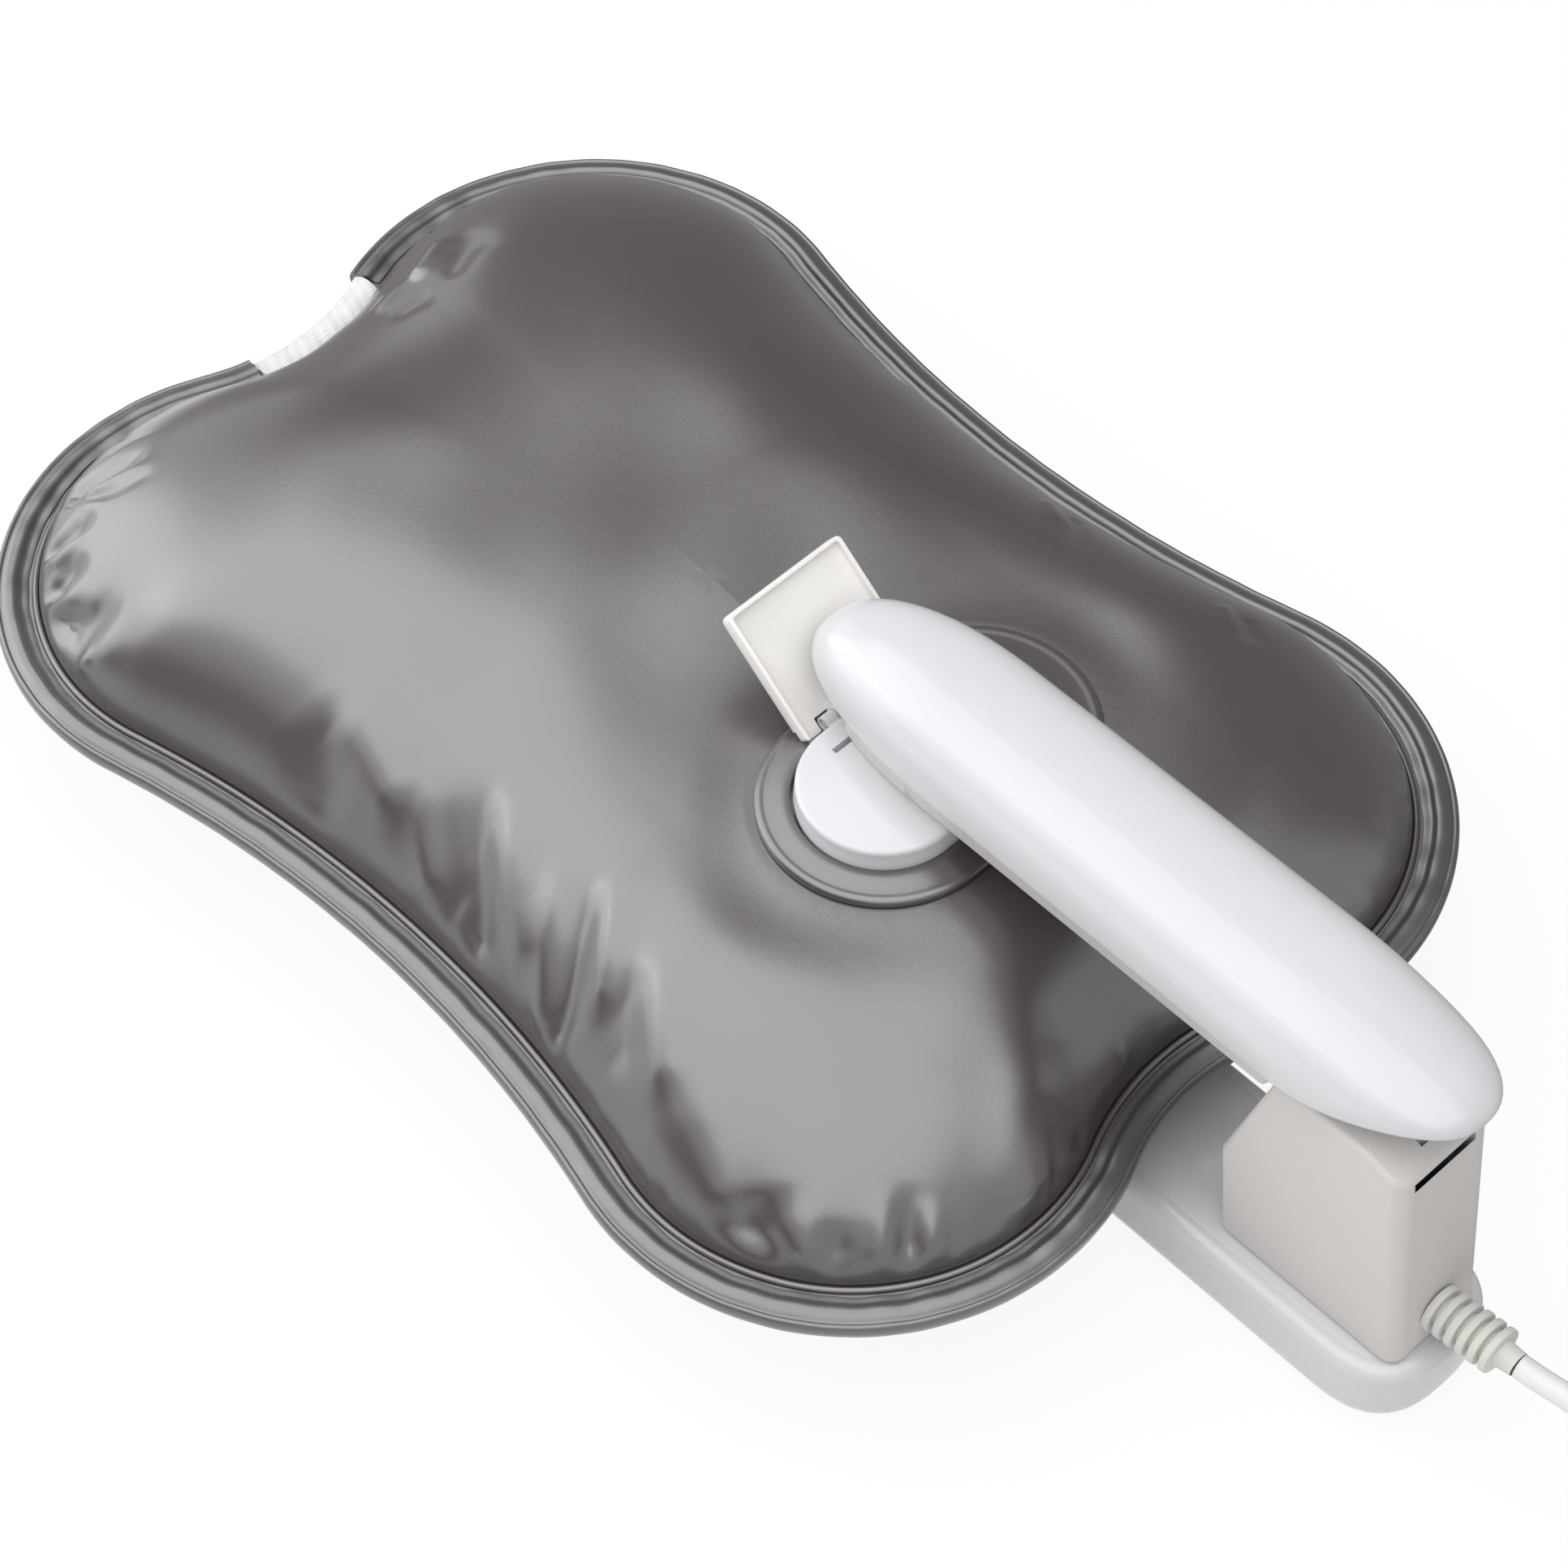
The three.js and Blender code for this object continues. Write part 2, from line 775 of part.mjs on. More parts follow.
// The lid is drawn lying open and level, hinged at its +X edge, and then turned up.
function socketLid() {
  const half = lid.width / 2;
  const start = lid.knuckleRadius + clearance;
  const plate = block([-lid.length, -start], [-half, half], [-lid.thickness, 0]);
  const tray = block(
    [-lid.length + lid.rim, -start + overrun],
    [-half + lid.rim, half - lid.rim],
    [-lid.recess, overrun],
  );
  const knuckle = rod(lid.knuckleRadius, lid.knuckleWidth, "y", [0, -lidHalf, 0]);
  const web = block([-start - lid.rim, 0], [-lidHalf, lidHalf], [-lid.knuckleRadius, -lid.recess / 2]);
  const bore = rod(
    lid.pinRadius + clearance,
    lid.knuckleWidth + 2 * overrun,
    "y",
    [0, -lidHalf - overrun, 0],
    counts.smallRound,
  );
  return cut(join(cut(plate, tray), knuckle, web), bore);
}
const lidMesh = place("socket_lid", socketLid(), creamPlastic);
lidMesh.position.set(lidHingeX, 0, lidHingeZ);
lidMesh.rotation.y = THREE.MathUtils.degToRad(lid.openAngle);

// The heater hangs in the water under the port

function heaterChamber() {
  const x = chamber.length / 2;
  const y = chamber.width / 2;
  const wall = chamber.wall;
  const outer = block([portX - x, portX + x], [-y, y], [chamberBottom, chamberTop]);
  const hollow = block(
    [portX - x + wall, portX + x - wall],
    [-y + wall, y - wall],
    [chamberBottom + wall, chamberTop - wall],
  );
  const mouthBase = chamberTop - wall - overrun;
  const mouth = prism(stadium(port.neckRadius + clearance), mouthBase, chamberTop + overrun);
  const vents = [-1, 0, 1].map((step) =>
    rod(
      chamber.ventRadius,
      chamber.length + 2 * overrun,
      "x",
      [portX - x - overrun, step * chamber.ventPitch, chamberBottom + chamber.ventHeight],
      counts.smallRound,
    ),
  );
  return cut(outer, hollow, mouth, ...vents);
}
place("heater_chamber", heaterChamber(), innerPlastic);

[-electrode.pitch / 2, electrode.pitch / 2].forEach((y, i) => {
  const top = neckBottom - clearance;
  place(
    "electrode_" + sideNames[i],
    rod(electrode.radius, electrode.length, "z", [portX, y, top - electrode.length], counts.round),
    graphite,
  );
});
place(
  "thermostat",
  join(
    rod(thermostat.radius, thermostat.height, "z", [portX, 0, neckBottom - clearance - thermostat.height]),
    rod(
      thermostat.radius + thermostat.flange,
      thermostat.flange,
      "z",
      [portX, 0, neckBottom - clearance - thermostat.flange],
    ),
  ),
  steel,
);
place(
  "thermal_fuse",
  rod(
    fuse.radius,
    fuse.length,
    "y",
    [portX, -fuse.length / 2, neckBottom - 2 * clearance - thermostat.height - fuse.radius],
    counts.smallRound,
  ),
  steel,
);

// The arm

const sternShare = (x) => {
  const run = Math.min(1, Math.max(0, (x - (armRear - arm.sternRun)) / arm.sternRun));
  return run * run * (3 - 2 * run);
};
const armOutline = (sideInset, endInset) =>
  barOutline(
    armTip + endInset,
    armRear - endInset,
    arm.halfWidth - sideInset,
    arm.frontCap - endInset / 2,
    arm.rearCap - endInset / 2,
  );

// Insets from the side and the ends, and the height above the rim, all as shares of the arm's own sizes.
const armSectionShares = [
  [0, 0, 0],
  [0.02, 0.03, 0.25],
  [0.12, 0.16, 0.58],
  [0.33, 0.42, 0.86],
  [0.62, 0.8, 0.98],
];
const armLevel = (shares, inset) => {
  const [side, end, height] = shares;
  const depth = arm.height - inset;
  return armOutline(side * arm.halfWidth + inset, end * arm.frontCap + inset).map(
    (p) => {
      const rise = (1 - height) * arm.sternRise * sternShare(p.x);
      return new THREE.Vector3(p.x, p.y, coverRim + height * depth + rise);
    },
  );
};
const armMiddle = (armTip + armRear) / 2;
const armDome = (inset) => armSectionShares.map((shares) => armLevel(shares, inset));

function armCover() {
  return loft([
    pole(armMiddle, coverRim + arm.height - arm.wall),
    ...armDome(arm.wall).reverse(),
    ...armDome(0),
    pole(armMiddle, coverRim + arm.height),
  ]);
}
place("arm_cover", armCover(), whiteGloss);

function armBody() {
  const inset = arm.wall + clearance;
  const dome = armDome(inset);
  const space = loft([
    pole(armMiddle, armBase - overrun),
    level(dome[0], armBase - overrun),
    ...dome,
    pole(armMiddle, coverRim + arm.height - inset),
  ]);
  const front = armTip + arm.bodyFront;
  const stepX = housingCrownFront - clip.throatGap / 2;
  const lowTop = coverRim + arm.height;
  const profile = (inward, lift) => [
    [front + inward, armBase + lift],
    [stepX - inward, armBase + lift],
    [stepX + arm.rearStep - inward, rearUnderside + lift],
    [armRear - inward * 2, rearUnderside + lift],
    [armRear - inward * 2, lowTop],
    [front + inward, lowTop],
  ];
  const outer = sideProfile(profile(0, 0), arm.bodyHalfWidth).intersect(space);
  const hollow = sideProfile(profile(2 * arm.floor, arm.floor), arm.bodyHalfWidth - arm.floor);
  const lug = join(
    rod(hinge.barrelRadius, 2 * hinge.lugHalfWidth, "y", [hingeX, -hinge.lugHalfWidth, hingeZ]),
    block(
      [hingeX - hinge.lugHalfLength, hingeX + hinge.lugHalfLength],
      [-hinge.lugHalfWidth, hinge.lugHalfWidth],
      [hingeZ, rearUnderside + arm.floor],
    ),
  );
  const bore = rod(
    hinge.pinRadius + hinge.play,
    2 * (hinge.lugHalfWidth + overrun),
    "y",
    [hingeX, -hinge.lugHalfWidth - overrun, hingeZ],
  );
  return cut(join(cut(outer, hollow), lug), bore);
}
place("arm_body", armBody(), whiteMatte);

const blockTop = armBase - clearance;
place(
  "plug_block",
  cut(
    block(
      [portX - plug.blockLength / 2, portX + plug.blockLength / 2],
      [-plug.blockWidth / 2, plug.blockWidth / 2],
      [blockFloor, blockTop],
    ),
    ...pinSides.map((y) =>
      rod(plug.pinRadius + clearance, plug.blockDepth + overrun, "z", [portX, y, blockFloor - overrun]),
    ),
  ),
  innerPlastic,
);
pinSides.forEach((y, i) => {
  place(
    "plug_pin_" + sideNames[i],
    rod(plug.pinRadius, plug.pinLength + plug.blockDepth - clearance, "z", [
      portX,
      y,
      blockFloor - plug.pinLength,
    ]),
    brass,
  );
});

// The housing at the back of the clip

const housingProfile = (inward, base = housingBase) => [
  [housingFoot + inward, base],
  [housingFront + inward, base + housing.kneeHeight],
  [housingCrownFront + inward, housingTop - inward * housing.roofShare],
  [housingCrownRear - housing.rearFallLength - inward, housingTop - inward * housing.roofShare],
  [housingCrownRear - inward, housingTop - housing.rearFall],
  [housingRear - inward, base],
];

function housingShell() {
  const outer = sideProfile(housingProfile(0), housing.halfWidth, housing.edgeRound);
  const innerHalf = housing.halfWidth - housing.wall;
  const inside = sideProfile(housingProfile(housing.wall, housingBase - overrun), innerHalf);
  const ahead = housing.wall + overrun;
  const throat = sideProfile(
    [
      [housingFoot - ahead, housingBase - overrun],
      [housingFoot + ahead, housingBase - overrun],
      [housingFront + ahead, housingBase + housing.kneeHeight],
      [housingCrownFront + ahead, housingTop - housing.deck],
      [housingCrownFront - ahead, housingTop - housing.deck],
      [housingFront - ahead, housingBase + housing.kneeHeight],
    ],
    innerHalf,
  );
  const lugSlot = block(
    [hingeX - hinge.barrelRadius - overrun, housingCrownRear - housing.wall - overrun],
    [-hinge.lugHalfWidth - overrun, hinge.lugHalfWidth + overrun],
    [hingeZ, housingTop + overrun],
  );
  const plungerHole = rod(
    microSwitch.plungerRadius + microSwitch.play,
    housing.deck + 3 * overrun,
    "z",
    [switchX, 0, housingTop - housing.deck - 2 * overrun],
  );
  const pinBore = rod(
    hinge.pinRadius + clearance,
    2 * (housing.halfWidth + overrun),
    "y",
    [hingeX, -housing.halfWidth - overrun, hingeZ],
  );
  const cordHole = rod(
    relief.neckRadius + clearance,
    2 * (housing.wall + housing.rearLean),
    "x",
    [housingRear - housing.wall - housing.rearLean, 0, cord.exitHeight],
  );
  return cut(outer, inside, throat, lugSlot, plungerHole, pinBore, cordHole);
}
const switchX = hingeX - microSwitch.setback;
place("housing_shell", housingShell(), whiteMatte);

function housingFrontCover() {
  const inward = housing.frontPlate;
  const top = housingTop - housing.deck - clearance;
  const plate = sideProfile(
    [
      [housingFoot, housingBase],
      [housingFoot + inward, housingBase],
      [housingFront + inward, housingBase + housing.kneeHeight],
      [housingCrownFront + inward, top],
      [housingCrownFront, top],
      [housingFront, housingBase + housing.kneeHeight],
    ],
    housing.halfWidth - housing.wall - clearance,
  );
  return plate;
}
place("housing_front_cover", housingFrontCover(), whiteMatte);

place(
  "arm_hinge_pin",
  rod(
    hinge.pinRadius,
    2 * (housing.halfWidth - clearance),
    "y",
    [hingeX, clearance - housing.halfWidth, hingeZ],
  ),
  steel,
);

// A ring of points round a path, square to its direction.
function section(centre, direction, radius, sides, turn = 0) {
  const ahead = direction.clone().normalize();
  const across = new THREE.Vector3(0, 0, 1).cross(ahead);
  if (across.length() < least) across.set(0, 1, 0);
  across.normalize();
  const up = ahead.clone().cross(across);
  return Array.from({ length: sides }, (_, i) => {
    const angle = turn + (2 * Math.PI * i) / sides;
    return centre
      .clone()
      .addScaledVector(across, radius * Math.cos(angle))
      .addScaledVector(up, radius * Math.sin(angle));
  });
}

// A closed tube through the points of a path.
function tubeAlong(points, radius, sides, turn = 0) {
  const count = points.length;
  const rings = points.map((point, i) => {
    const before = points[Math.max(0, i - 1)];
    const after = points[Math.min(count - 1, i + 1)];
    return section(point, after.clone().sub(before), radius, sides, turn);
  });
  return loft([[points[0].clone()], ...rings, [points[count - 1].clone()]]);
}

// The torsion spring winds round the hinge pin beside the lug.
function torsionSpring() {
  const radius = hinge.pinRadius + spring.gap + spring.wireRadius;
  const start = hinge.lugHalfWidth + clearance + spring.wireRadius;
  const end = housing.halfWidth - housing.wall - clearance - spring.wireRadius;
  const total = spring.turns * spring.steps;
  const points = Array.from({ length: total + 1 }, (_, i) => {
    const angle = (2 * Math.PI * i) / spring.steps;
    return new THREE.Vector3(
      hingeX + radius * Math.cos(angle),
      start + ((end - start) * i) / total,
      hingeZ + radius * Math.sin(angle),
    );
  });
  const leg = new THREE.Vector3(0, 0, spring.leg);
  return tubeAlong([...points, points[total].clone().add(leg)], spring.wireRadius, spring.sides);
}
place("torsion_spring", torsionSpring(), steel);

// The jaw under the bag

const jawRings = (inset) => {
  const sway = [0, Math.PI / 6, Math.PI / 3, Math.PI / 2];
  const bilge = sway.map((angle) => {
    const side = jaw.bilge * (1 - Math.sin(angle));
    const end = jaw.endBilge * (1 - Math.sin(angle));
    const height = inset + (jaw.bilge - inset) * (1 - Math.cos(angle));
    return level(jawOutline(side + inset, end + inset), height);
  });
  return bilge;
};

const jawScrewPlaces = jawScrewShares.map((share) => jawFront + share * (housingRear - jawFront));

function jawShell() {
  const round = jaw.topRound;
  const shoulder = round * jaw.topRoundShare;
  const mouth = round + clearance;
  const outer = loft([
    pole(portX, 0),
    ...jawRings(0),
    level(jawOutline(0, 0), jaw.height - round),
    level(jawOutline(shoulder, shoulder), jaw.height - shoulder),
    level(jawOutline(round, round), jaw.height),
    pole(portX, jaw.height),
  ]);
  const inner = loft([
    pole(portX, jaw.shell),
    ...jawRings(jaw.shell),
    level(jawOutline(mouth, mouth), jaw.height - round),
    level(jawOutline(mouth, mouth), jaw.height + overrun),
    pole(portX, jaw.height + overrun),
  ]);
  const bosses = jawScrewPlaces.map((x) =>
    rod(screw.post, jaw.height - jaw.deckThickness - clearance, "z", [x, 0, 0]),
  );
  const holes = jawScrewPlaces.flatMap((x) => [
    rod(screw.head + clearance, screw.headHeight + 2 * clearance + overrun, "z", [x, 0, -overrun]),
    rod(screw.shank + clearance, jaw.height, "z", [x, 0, -overrun]),
  ]);
  return cut(join(cut(outer, inner), ...bosses), ...holes);
}
place("jaw_shell", jawShell(), whiteGloss);

function jawDeck() {
  const inset = jaw.topRound + 2 * clearance;
  const plate = prism(jawOutline(inset, inset), jaw.height - jaw.deckThickness, jaw.height);
  const nuts = jawScrewPlaces.map((x) =>
    rod(screw.shank + clearance, jaw.deckThickness + 2 * overrun, "z", [
      x,
      0,
      jaw.height - jaw.deckThickness - overrun,
    ]),
  );
  return cut(plate, ...nuts);
}
place("jaw_deck", jawDeck(), whiteGloss);

jawScrewPlaces.forEach((x, i) => {
  const headBase = clearance;
  const shankTop = jaw.height - clearance;
  place(
    "jaw_screw_" + (i + 1),
    join(
      rod(screw.head, screw.headHeight, "z", [x, 0, headBase], counts.smallRound),
      rod(screw.shank, shankTop - headBase, "z", [x, 0, headBase], counts.smallRound),
    ),
    steel,
  );
});

// Inside the housing

const switchTop = housingTop - housing.deck - clearance;
const switchBottom = switchTop - microSwitch.height;
const plungerBottom = switchBottom + microSwitch.height / 2;
const plungerTop = housingTop - clearance;
const boreRadius = microSwitch.plungerRadius + microSwitch.play;
place(
  "micro_switch",
  cut(
    block(
      [switchX - microSwitch.length / 2, switchX + microSwitch.length / 2],
      [-microSwitch.width / 2, microSwitch.width / 2],
      [switchBottom, switchTop],
    ),
    rod(boreRadius, microSwitch.height, "z", [switchX, 0, plungerBottom - microSwitch.stroke / 2]),
  ),
  graphite,
);
place(
  "switch_plunger",
  rod(
    microSwitch.plungerRadius,
    plungerTop - plungerBottom,
    "z",
    [switchX, 0, plungerBottom],
    counts.smallRound,
  ),
  whiteMatte,
);

const clampX = housingRear - housing.wall - relief.neckLength - clamp.length / 2;
const clampTop = cord.exitHeight + cordRadius + clearance;
const gripRadius = cordRadius + clearance;
const clampEdges = [clampX - clamp.length / 2, clampX + clamp.length / 2];
const clampSides = [-clamp.width / 2, clamp.width / 2];

place(
  "cord_clamp_base",
  cut(
    block(clampEdges, clampSides, [housingBase, cord.exitHeight - clearance / 2]),
    rod(gripRadius, clamp.length + 2 * overrun, "x", [clampEdges[0] - overrun, 0, cord.exitHeight]),
    ...[-1, 1].map((side) =>
      rod(screw.shank + clearance, cord.exitHeight, "z", [
        clampX,
        (side * clamp.screwPitch) / 2,
        housingBase + clearance,
      ]),
    ),
  ),
  innerPlastic,
);
place(
  "cord_clamp_bar",
  cut(
    block(clampEdges, clampSides, [cord.exitHeight + clearance / 2, clampTop + screw.headHeight]),
    rod(gripRadius, clamp.length + 2 * overrun, "x", [clampEdges[0] - overrun, 0, cord.exitHeight]),
    ...[-1, 1].map((side) =>
      rod(screw.shank + clearance, clampTop, "z", [clampX, (side * clamp.screwPitch) / 2, housingBase]),
    ),
  ),
  innerPlastic,
);
[-1, 1].forEach((side, i) => {
  const seat = clampTop + screw.headHeight + clearance;
  const foot = housingBase + 2 * clearance;
  const y = (side * clamp.screwPitch) / 2;
  place(
    "clamp_screw_" + (i + 1),
    join(
      rod(screw.shank, seat - foot, "z", [clampX, y, foot], counts.smallRound),
      rod(screw.clampHead, screw.headHeight, "z", [clampX, y, seat], counts.smallRound),
    ),
    steel,
  );
});

const terminalX = clampEdges[0] - cordRadius - terminal.length;
const innerStart = terminalX + terminal.length + clearance;
const innerEnd = reliefStart - relief.neckLength - clearance;
place(
  "cord_inner_end",
  rod(cordRadius, innerEnd - innerStart, "x", [innerStart, 0, cord.exitHeight], counts.smallRound),
  cordVinyl,
);
place(
  "terminal_block",
  cut(
    block(
      [terminalX, terminalX + terminal.length],
      [-terminal.width / 2, terminal.width / 2],
      [housingBase, housingBase + terminal.height],
    ),
    ...[-terminal.pitch / 2, terminal.pitch / 2].map((y) =>
      rod(screw.shank, terminal.height, "z", [
        terminalX + terminal.length / 2,
        y,
        housingBase + terminal.height / 2,
      ]),
    ),
  ),
  innerPlastic,
);

// The strain relief, with ribs that shrink towards the cord

function strainRelief() {
  const pitch = relief.length / relief.ribs;
  const profile = [
    [0, 0],
    [0, relief.neckRadius],
    [relief.neckLength, relief.neckRadius],
  ];
  for (let i = 0; i < relief.ribs; i += 1) {
    const share = i / (relief.ribs - 1);
    const radius = relief.baseRadius * (1 - share) + relief.tipRadius * share;
    const from = relief.neckLength + i * pitch;
    const to = from + pitch * relief.ribShare;
    profile.push([from, radius], [to, radius]);
    if (i < relief.ribs - 1) profile.push([to, relief.coreRadius], [from + pitch, relief.coreRadius]);
  }
  const end = relief.neckLength + (relief.ribs - 1 + relief.ribShare) * pitch;
  profile.push([end, 0]);
  const points = profile.map(([along, radius]) => new THREE.Vector2(radius, -along));
  const geometry = new THREE.LatheGeometry(points.reverse(), relief.sides);
  geometry.rotateZ(Math.PI / 2);
  geometry.translate(reliefStart - relief.neckLength, 0, cord.exitHeight);
  return toSolid(geometry);
}
place("strain_relief", strainRelief(), greyRubber);

// The cord: out of the relief, down to the table and into a coil

const coilZ = cordRadius + coil.lift;
const coilCentre = new THREE.Vector2(housingRear + coil.centreX, coil.centreY);
const coilInner = coil.meanRadius - (coil.pitch * coil.turnsPerLayer) / 2;
const coilOuter = coilInner + coil.pitch * coil.turnsPerLayer;
const reliefTip = reliefEnd - (relief.length / relief.ribs) * (1 - relief.ribShare);
const leadStart = reliefTip + clearance;
const leadEnd = coilCentre.x + coilOuter;
const route = [
  [leadStart, 0, 29],
  [leadStart + 5, 0, 29],
  [leadStart + 11, 0.7, 29],
  [leadStart + 18, 2, 28.2],
  [leadStart + 26, 3.6, 25.4],
  [leadStart + 35, 5.4, 20.4],
  [leadStart + 44, 7.4, 14.4],
  [leadStart + 53, 10, 8.9],
  [leadStart + 62, 13.6, 5.3],
  [leadEnd - 16, 19, 4],
  [leadEnd - 9.5, 26.5, 3.6],
  [leadEnd - 4.8, 35, 3.6],
  [leadEnd - 1.6, 43, 3.6],
  [leadEnd - 0.2, 49.5, 3.6],
  [leadEnd, coilCentre.y - cord.diameter - clearance, coilZ],
];
const leadCurve = new THREE.CatmullRomCurve3(route.map(([x, y, z]) => new THREE.Vector3(x, y, z)));
place("cord_lead", tubeAlong(leadCurve.getPoints(counts.lead), cordRadius, counts.cord), cordVinyl);

// Two layers of turns: the spiral runs in, climbs a layer where it turns back, and runs out.
function coilPath() {
  const total = 2 * coil.turnsPerLayer;
  const count = total * coil.steps;
  return Array.from({ length: count + 1 }, (_, i) => {
    const turn = i / coil.steps;
    const fromBack = turn - coil.turnsPerLayer;
    const radius = coilInner + coil.pitch * Math.abs(fromBack);
    const lifted = Math.min(1, Math.max(0, fromBack / coil.climbTurns + coil.climbTurns));
    const eased = lifted * lifted * (3 - 2 * lifted);
    const angle = 2 * Math.PI * turn;
    return new THREE.Vector3(
      coilCentre.x + radius * Math.cos(angle),
      coilCentre.y + radius * Math.sin(angle),
      coilZ + coil.pitch * eased,
    );
  });
}
const coilPoints = coilPath();

// The least distance between turns, less the cord's diameter, measured on the points.
function leastGap(points, diameter, skip) {
  let least = Infinity;
  for (let i = 0; i < points.length; i += 1) {
    for (let j = i + skip; j < points.length; j += 1) {
      least = Math.min(least, points[i].distanceTo(points[j]));
    }
  }
  return least - diameter;
}
console.log("coil's least gap", leastGap(coilPoints, cord.diameter, coil.steps / 2).toFixed(2), "mm");
console.log("coil's length", new THREE.CatmullRomCurve3(coilPoints).getLength().toFixed(0), "mm");
console.log("lead's length", leadCurve.getLength().toFixed(0), "mm");

const plugZ = coilZ + coil.pitch;
const coilFrom = new THREE.Vector3(leadEnd, coilCentre.y - cord.diameter, coilZ);
const coilTo = new THREE.Vector3(leadEnd, coilCentre.y + cord.diameter, plugZ);
place(
  "cord_coil",
  tubeAlong([coilFrom, ...coilPoints, coilTo], cordRadius, coil.sides),
  cordVinyl,
);

const tailStart = coilCentre.y + cord.diameter + clearance;
place(
  "cord_tail",
  rod(cordRadius, mains.tail, "y", [leadEnd, tailStart, plugZ], counts.smallRound),
  cordVinyl,
);

function coilTie() {
  const near = coilInner + coil.pitch / 2 - cordRadius - tie.slack;
  const far = coilInner + coil.pitch * (coil.turnsPerLayer - 1 / 2) + cordRadius + tie.slack;
  const low = coil.lift - clearance;
  const high = plugZ + cordRadius + clearance;
  const x = coilCentre.x;
  const y = coilCentre.y;
  const band = (spread, half) =>
    block([x - far - spread, x - near + spread], [y - half, y + half], [low - spread, high + spread]);
  return cut(band(tie.thickness, tie.width / 2), band(0, tie.width));
}
place("coil_tie", coilTie(), greyRubber);

// The plug at the cord's end, lying flat on the table

const plugStart = tailStart + mains.tail + clearance;
const plugHalf = plugZ;
function mainsPlug() {
  const outline = (inset) =>
    [
      [-1, -1],
      [1, -1],
      [1, 1],
      [-1, 1],
    ].flatMap(([sx, sz]) => {
      const x = leadEnd + sx * (mains.width / 2 - inset);
      const z = plugZ + sz * (plugHalf - inset);
      const corner = mains.bevel;
      const first = new THREE.Vector2(x, z - sz * corner);
      const second = new THREE.Vector2(x - sx * corner, z);
      return sx === sz ? [first, second] : [second, first];
    });
  const ring = (inset, y) => outline(inset).map((p) => new THREE.Vector3(p.x, y, p.y)).reverse();
  const shoulder = plugStart + mains.collar;
  const end = plugStart + mains.length;
  return loft([
    [new THREE.Vector3(leadEnd, plugStart, plugZ)],
    ring(mains.waist, plugStart),
    ring(mains.waist, shoulder - mains.bevel),
    ring(mains.bevel / 2, shoulder + mains.bevel),
    ring(0, shoulder + 2 * mains.bevel),
    ring(0, end - mains.bevel / 2),
    ring(mains.bevel / 2, end),
    [new THREE.Vector3(leadEnd, end, plugZ)],
  ]);
}
place("mains_plug_body", mainsPlug(), whiteMatte);
[-1, 1].forEach((side, i) => {
  const x = leadEnd + (side * mains.bladePitch) / 2;
  const from = plugStart + mains.length + clearance;
  place(
    "mains_plug_blade_" + (i + 1),
    block(
      [x - mains.bladeThickness / 2, x + mains.bladeThickness / 2],
      [from, from + mains.bladeLength],
      [plugZ - mains.bladeWidth / 2, plugZ + mains.bladeWidth / 2],
    ),
    brass,
  );
});

// The origin: the middle of the underside of the bag and the clip, without what is on the cord

const onTheCord = /^(cord_lead|cord_coil|cord_tail|coil_tie|mains_plug)/;
const extent = new THREE.Box3();
assembly.updateMatrixWorld(true);
for (const mesh of assembly.children) {
  if (!onTheCord.test(mesh.name)) extent.expandByObject(mesh, true);
}
const middle = extent.getCenter(new THREE.Vector3());
assembly.position.set(-middle.x, -middle.y, -extent.min.z);
console.log("moved by", assembly.position.toArray().map((v) => v.toFixed(3)).join(" "));

export default new THREE.Group().add(assembly);
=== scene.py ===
"""An electric hot water bottle and its charging clip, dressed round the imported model."""

import json
import math

import bmesh
import bpy
import numpy as np
from mathutils import Matrix, Vector


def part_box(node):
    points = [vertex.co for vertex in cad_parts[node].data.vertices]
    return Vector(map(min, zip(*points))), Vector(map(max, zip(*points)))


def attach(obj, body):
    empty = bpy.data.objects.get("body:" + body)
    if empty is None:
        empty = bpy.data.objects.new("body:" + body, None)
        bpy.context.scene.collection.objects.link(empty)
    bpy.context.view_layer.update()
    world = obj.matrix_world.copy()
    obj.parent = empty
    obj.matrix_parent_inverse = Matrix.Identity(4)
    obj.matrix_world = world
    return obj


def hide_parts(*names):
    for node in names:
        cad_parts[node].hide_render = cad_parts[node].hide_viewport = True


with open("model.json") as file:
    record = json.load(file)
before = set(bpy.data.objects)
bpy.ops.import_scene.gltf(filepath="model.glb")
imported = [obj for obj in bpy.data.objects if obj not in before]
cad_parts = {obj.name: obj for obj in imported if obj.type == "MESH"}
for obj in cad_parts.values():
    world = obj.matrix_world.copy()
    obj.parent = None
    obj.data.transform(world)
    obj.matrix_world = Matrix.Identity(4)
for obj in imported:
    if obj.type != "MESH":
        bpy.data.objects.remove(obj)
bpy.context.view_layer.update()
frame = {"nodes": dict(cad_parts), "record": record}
bpy.ops.object.select_all(action="DESELECT")
NODES = frame["nodes"]
MM = 0.001
NEAR = 0.00001


# Places that the frame gives

def middle_of(node):
    low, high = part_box(node)
    return (low + high) / 2


ROOM = 0.3 * MM
BAG_MIDDLE = middle_of("bag_upper_panel").x
PORT = middle_of("port_flange")
JAW_LOW, JAW_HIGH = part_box("jaw_shell")
COVER_LOW, COVER_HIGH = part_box("arm_cover")
BODY_LOW, BODY_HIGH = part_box("arm_body")
HOUSING_LOW, HOUSING_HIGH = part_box("housing_shell")
SOCKET_LOW, SOCKET_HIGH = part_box("socket_housing")
FLANGE_LOW, FLANGE_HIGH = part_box("port_flange")
RELIEF_LOW, RELIEF_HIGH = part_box("strain_relief")
LEAD_LOW, LEAD_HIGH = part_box("cord_lead")


def add_object(name, data):
    """An object that holds the data, put into the scene."""
    made = bpy.data.objects.new(name, data)
    bpy.context.scene.collection.objects.link(made)
    return made


# Camera

